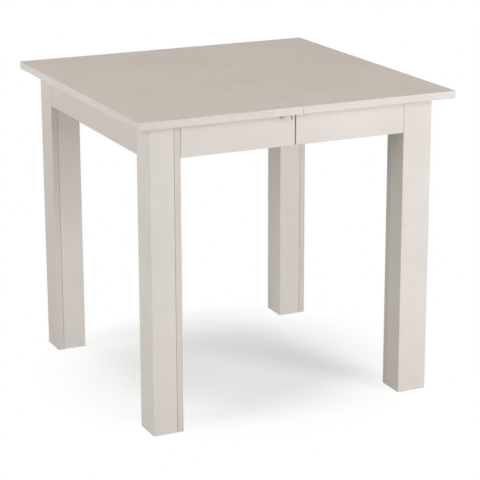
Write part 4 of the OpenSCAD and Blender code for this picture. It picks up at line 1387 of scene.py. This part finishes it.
# %% [markdown]
# ## The floor
#
# Under the table the floor is white paint in the light of the lamps, so that it keeps the
# soft shadow. What the camera sees of it gets a small lift. Outward it fades to full white,
# as the paper roll of a studio does. From below the floor is clear, like a glass bench,
# because the runners and the leaf hang under the top and are worth a look from there.

# %% Floor
FLOOR_HALF = 12.0
FLOOR_LEVEL = -0.3 * MM
FLOOR_WHITE = 0.92
FLOOR_LIFT = 0.214
FLOOR_FADE = (0.13, 0.52)

corners = [(x * FLOOR_HALF, y * FLOOR_HALF, FLOOR_LEVEL) for x, y in ((-1, -1), (1, -1), (1, 1), (-1, 1))]
floor_mesh = bpy.data.meshes.new("floor")
floor_mesh.from_pydata(corners, [], [(0, 1, 2, 3)])
floor = bpy.data.objects.new("floor", floor_mesh)
bpy.context.scene.collection.objects.link(floor)

paint = finish("floor_paint", {
    "Base Color": (FLOOR_WHITE, FLOOR_WHITE, FLOOR_WHITE, 1), "Roughness": 0.9, "Specular IOR Level": 0.0})
floor_mesh.materials.append(paint)
rays = sight_rays(paint)
lift = glow(paint, math_of(paint, "MULTIPLY", rays, FLOOR_LIFT))
plain = paint.node_tree.nodes["Principled BSDF"].outputs["BSDF"]
lifted = add(paint, "ShaderNodeAddShader", {0: plain, 1: lift}).outputs[0]
distance = add(paint, "ShaderNodeVectorMath", {0: place(paint)}, operation="LENGTH").outputs["Value"]
fade = math_of(paint, "MULTIPLY", rays, spread(paint, distance, FLOOR_FADE, fade="SMOOTHSTEP"))
faded = mix(paint, fade, lifted, glow(paint, 1.0))
from_below = add(paint, "ShaderNodeNewGeometry").outputs["Backfacing"]
clear = add(paint, "ShaderNodeBsdfTransparent").outputs[0]
surface = paint.node_tree.nodes["Material Output"].inputs["Surface"]
paint.node_tree.links.new(mix(paint, from_below, faded, clear), surface)
print("the floor is full white from", FLOOR_FADE[1], "m away from the middle")

# %% [markdown]
# ## The air of the studio
#
# The world is a weak, even light from all around, which keeps the undersides readable. To
# the camera and to shiny metal it shows as plain white, but it doesn't light the table with
# that strength.

# %% World
WORLD_LIGHT = 0.18

world = bpy.data.worlds.new("studio")
world.use_nodes = True
world.node_tree.nodes.clear()
soft_air, white_air = (
    add(world, "ShaderNodeBackground", {"Color": (1, 1, 1, 1), "Strength": strength}).outputs[0]
    for strength in (WORLD_LIGHT, 1.0))
add(world, "ShaderNodeOutputWorld", {"Surface": mix(world, sight_rays(world), soft_air, white_air)})
bpy.context.scene.world = world
print("world light", WORLD_LIGHT)

# %% [markdown]
# ## The lamps
#
# The photograph has bright fronts, a slightly dimmer left side and a top that is dimmer
# still, and the right legs are a little brighter than the left ones. So the key is a tall
# soft box in front, on the right. One on the left stands higher than the table, so that the
# aprons keep it from the tops of the inner faces, the darkest places in the photograph. One
# overhead makes the soft shadow under the table, and one behind lights the back. The powers
# were found by rendering each lamp by itself and adding the pictures up.

# %% Lamps
LAMP_AIM = (0.0, 0.0, 0.4)
# Name, place, width and height in metres, power in watts, tint
LAMPS = (
    ("key_softbox", (1.75, -3.35, 1.3), (1.6, 2.2), 101.0, (0.97, 1.0, 1.02)),
    ("left_softbox", (-3.6, -0.65, 1.95), (1.7, 1.8), 60.5, (0.95, 1.0, 0.98)),
    ("top_softbox", (0.1, 0.0, 3.6), (2.4, 2.4), 28.5, (1.15, 1.0, 0.85)),
    ("back_softbox", (-2.2, 3.6, 0.9), (1.8, 1.4), 32.0, (1.0, 1.0, 1.0)),
)

for name, at, size, power, tint in LAMPS:
    data = bpy.data.lights.new(name, "AREA")
    data.shape = "RECTANGLE"
    data.size, data.size_y = size
    data.energy = power
    data.color = tint
    lamp = bpy.data.objects.new(name, data)
    lamp.location = at
    lamp.rotation_mode = "QUATERNION"
    lamp.rotation_quaternion = (Vector(LAMP_AIM) - Vector(at)).to_track_quat("-Z", "Y")
    bpy.context.scene.collection.objects.link(lamp)
    print(name, "at", at, "with", power, "W")
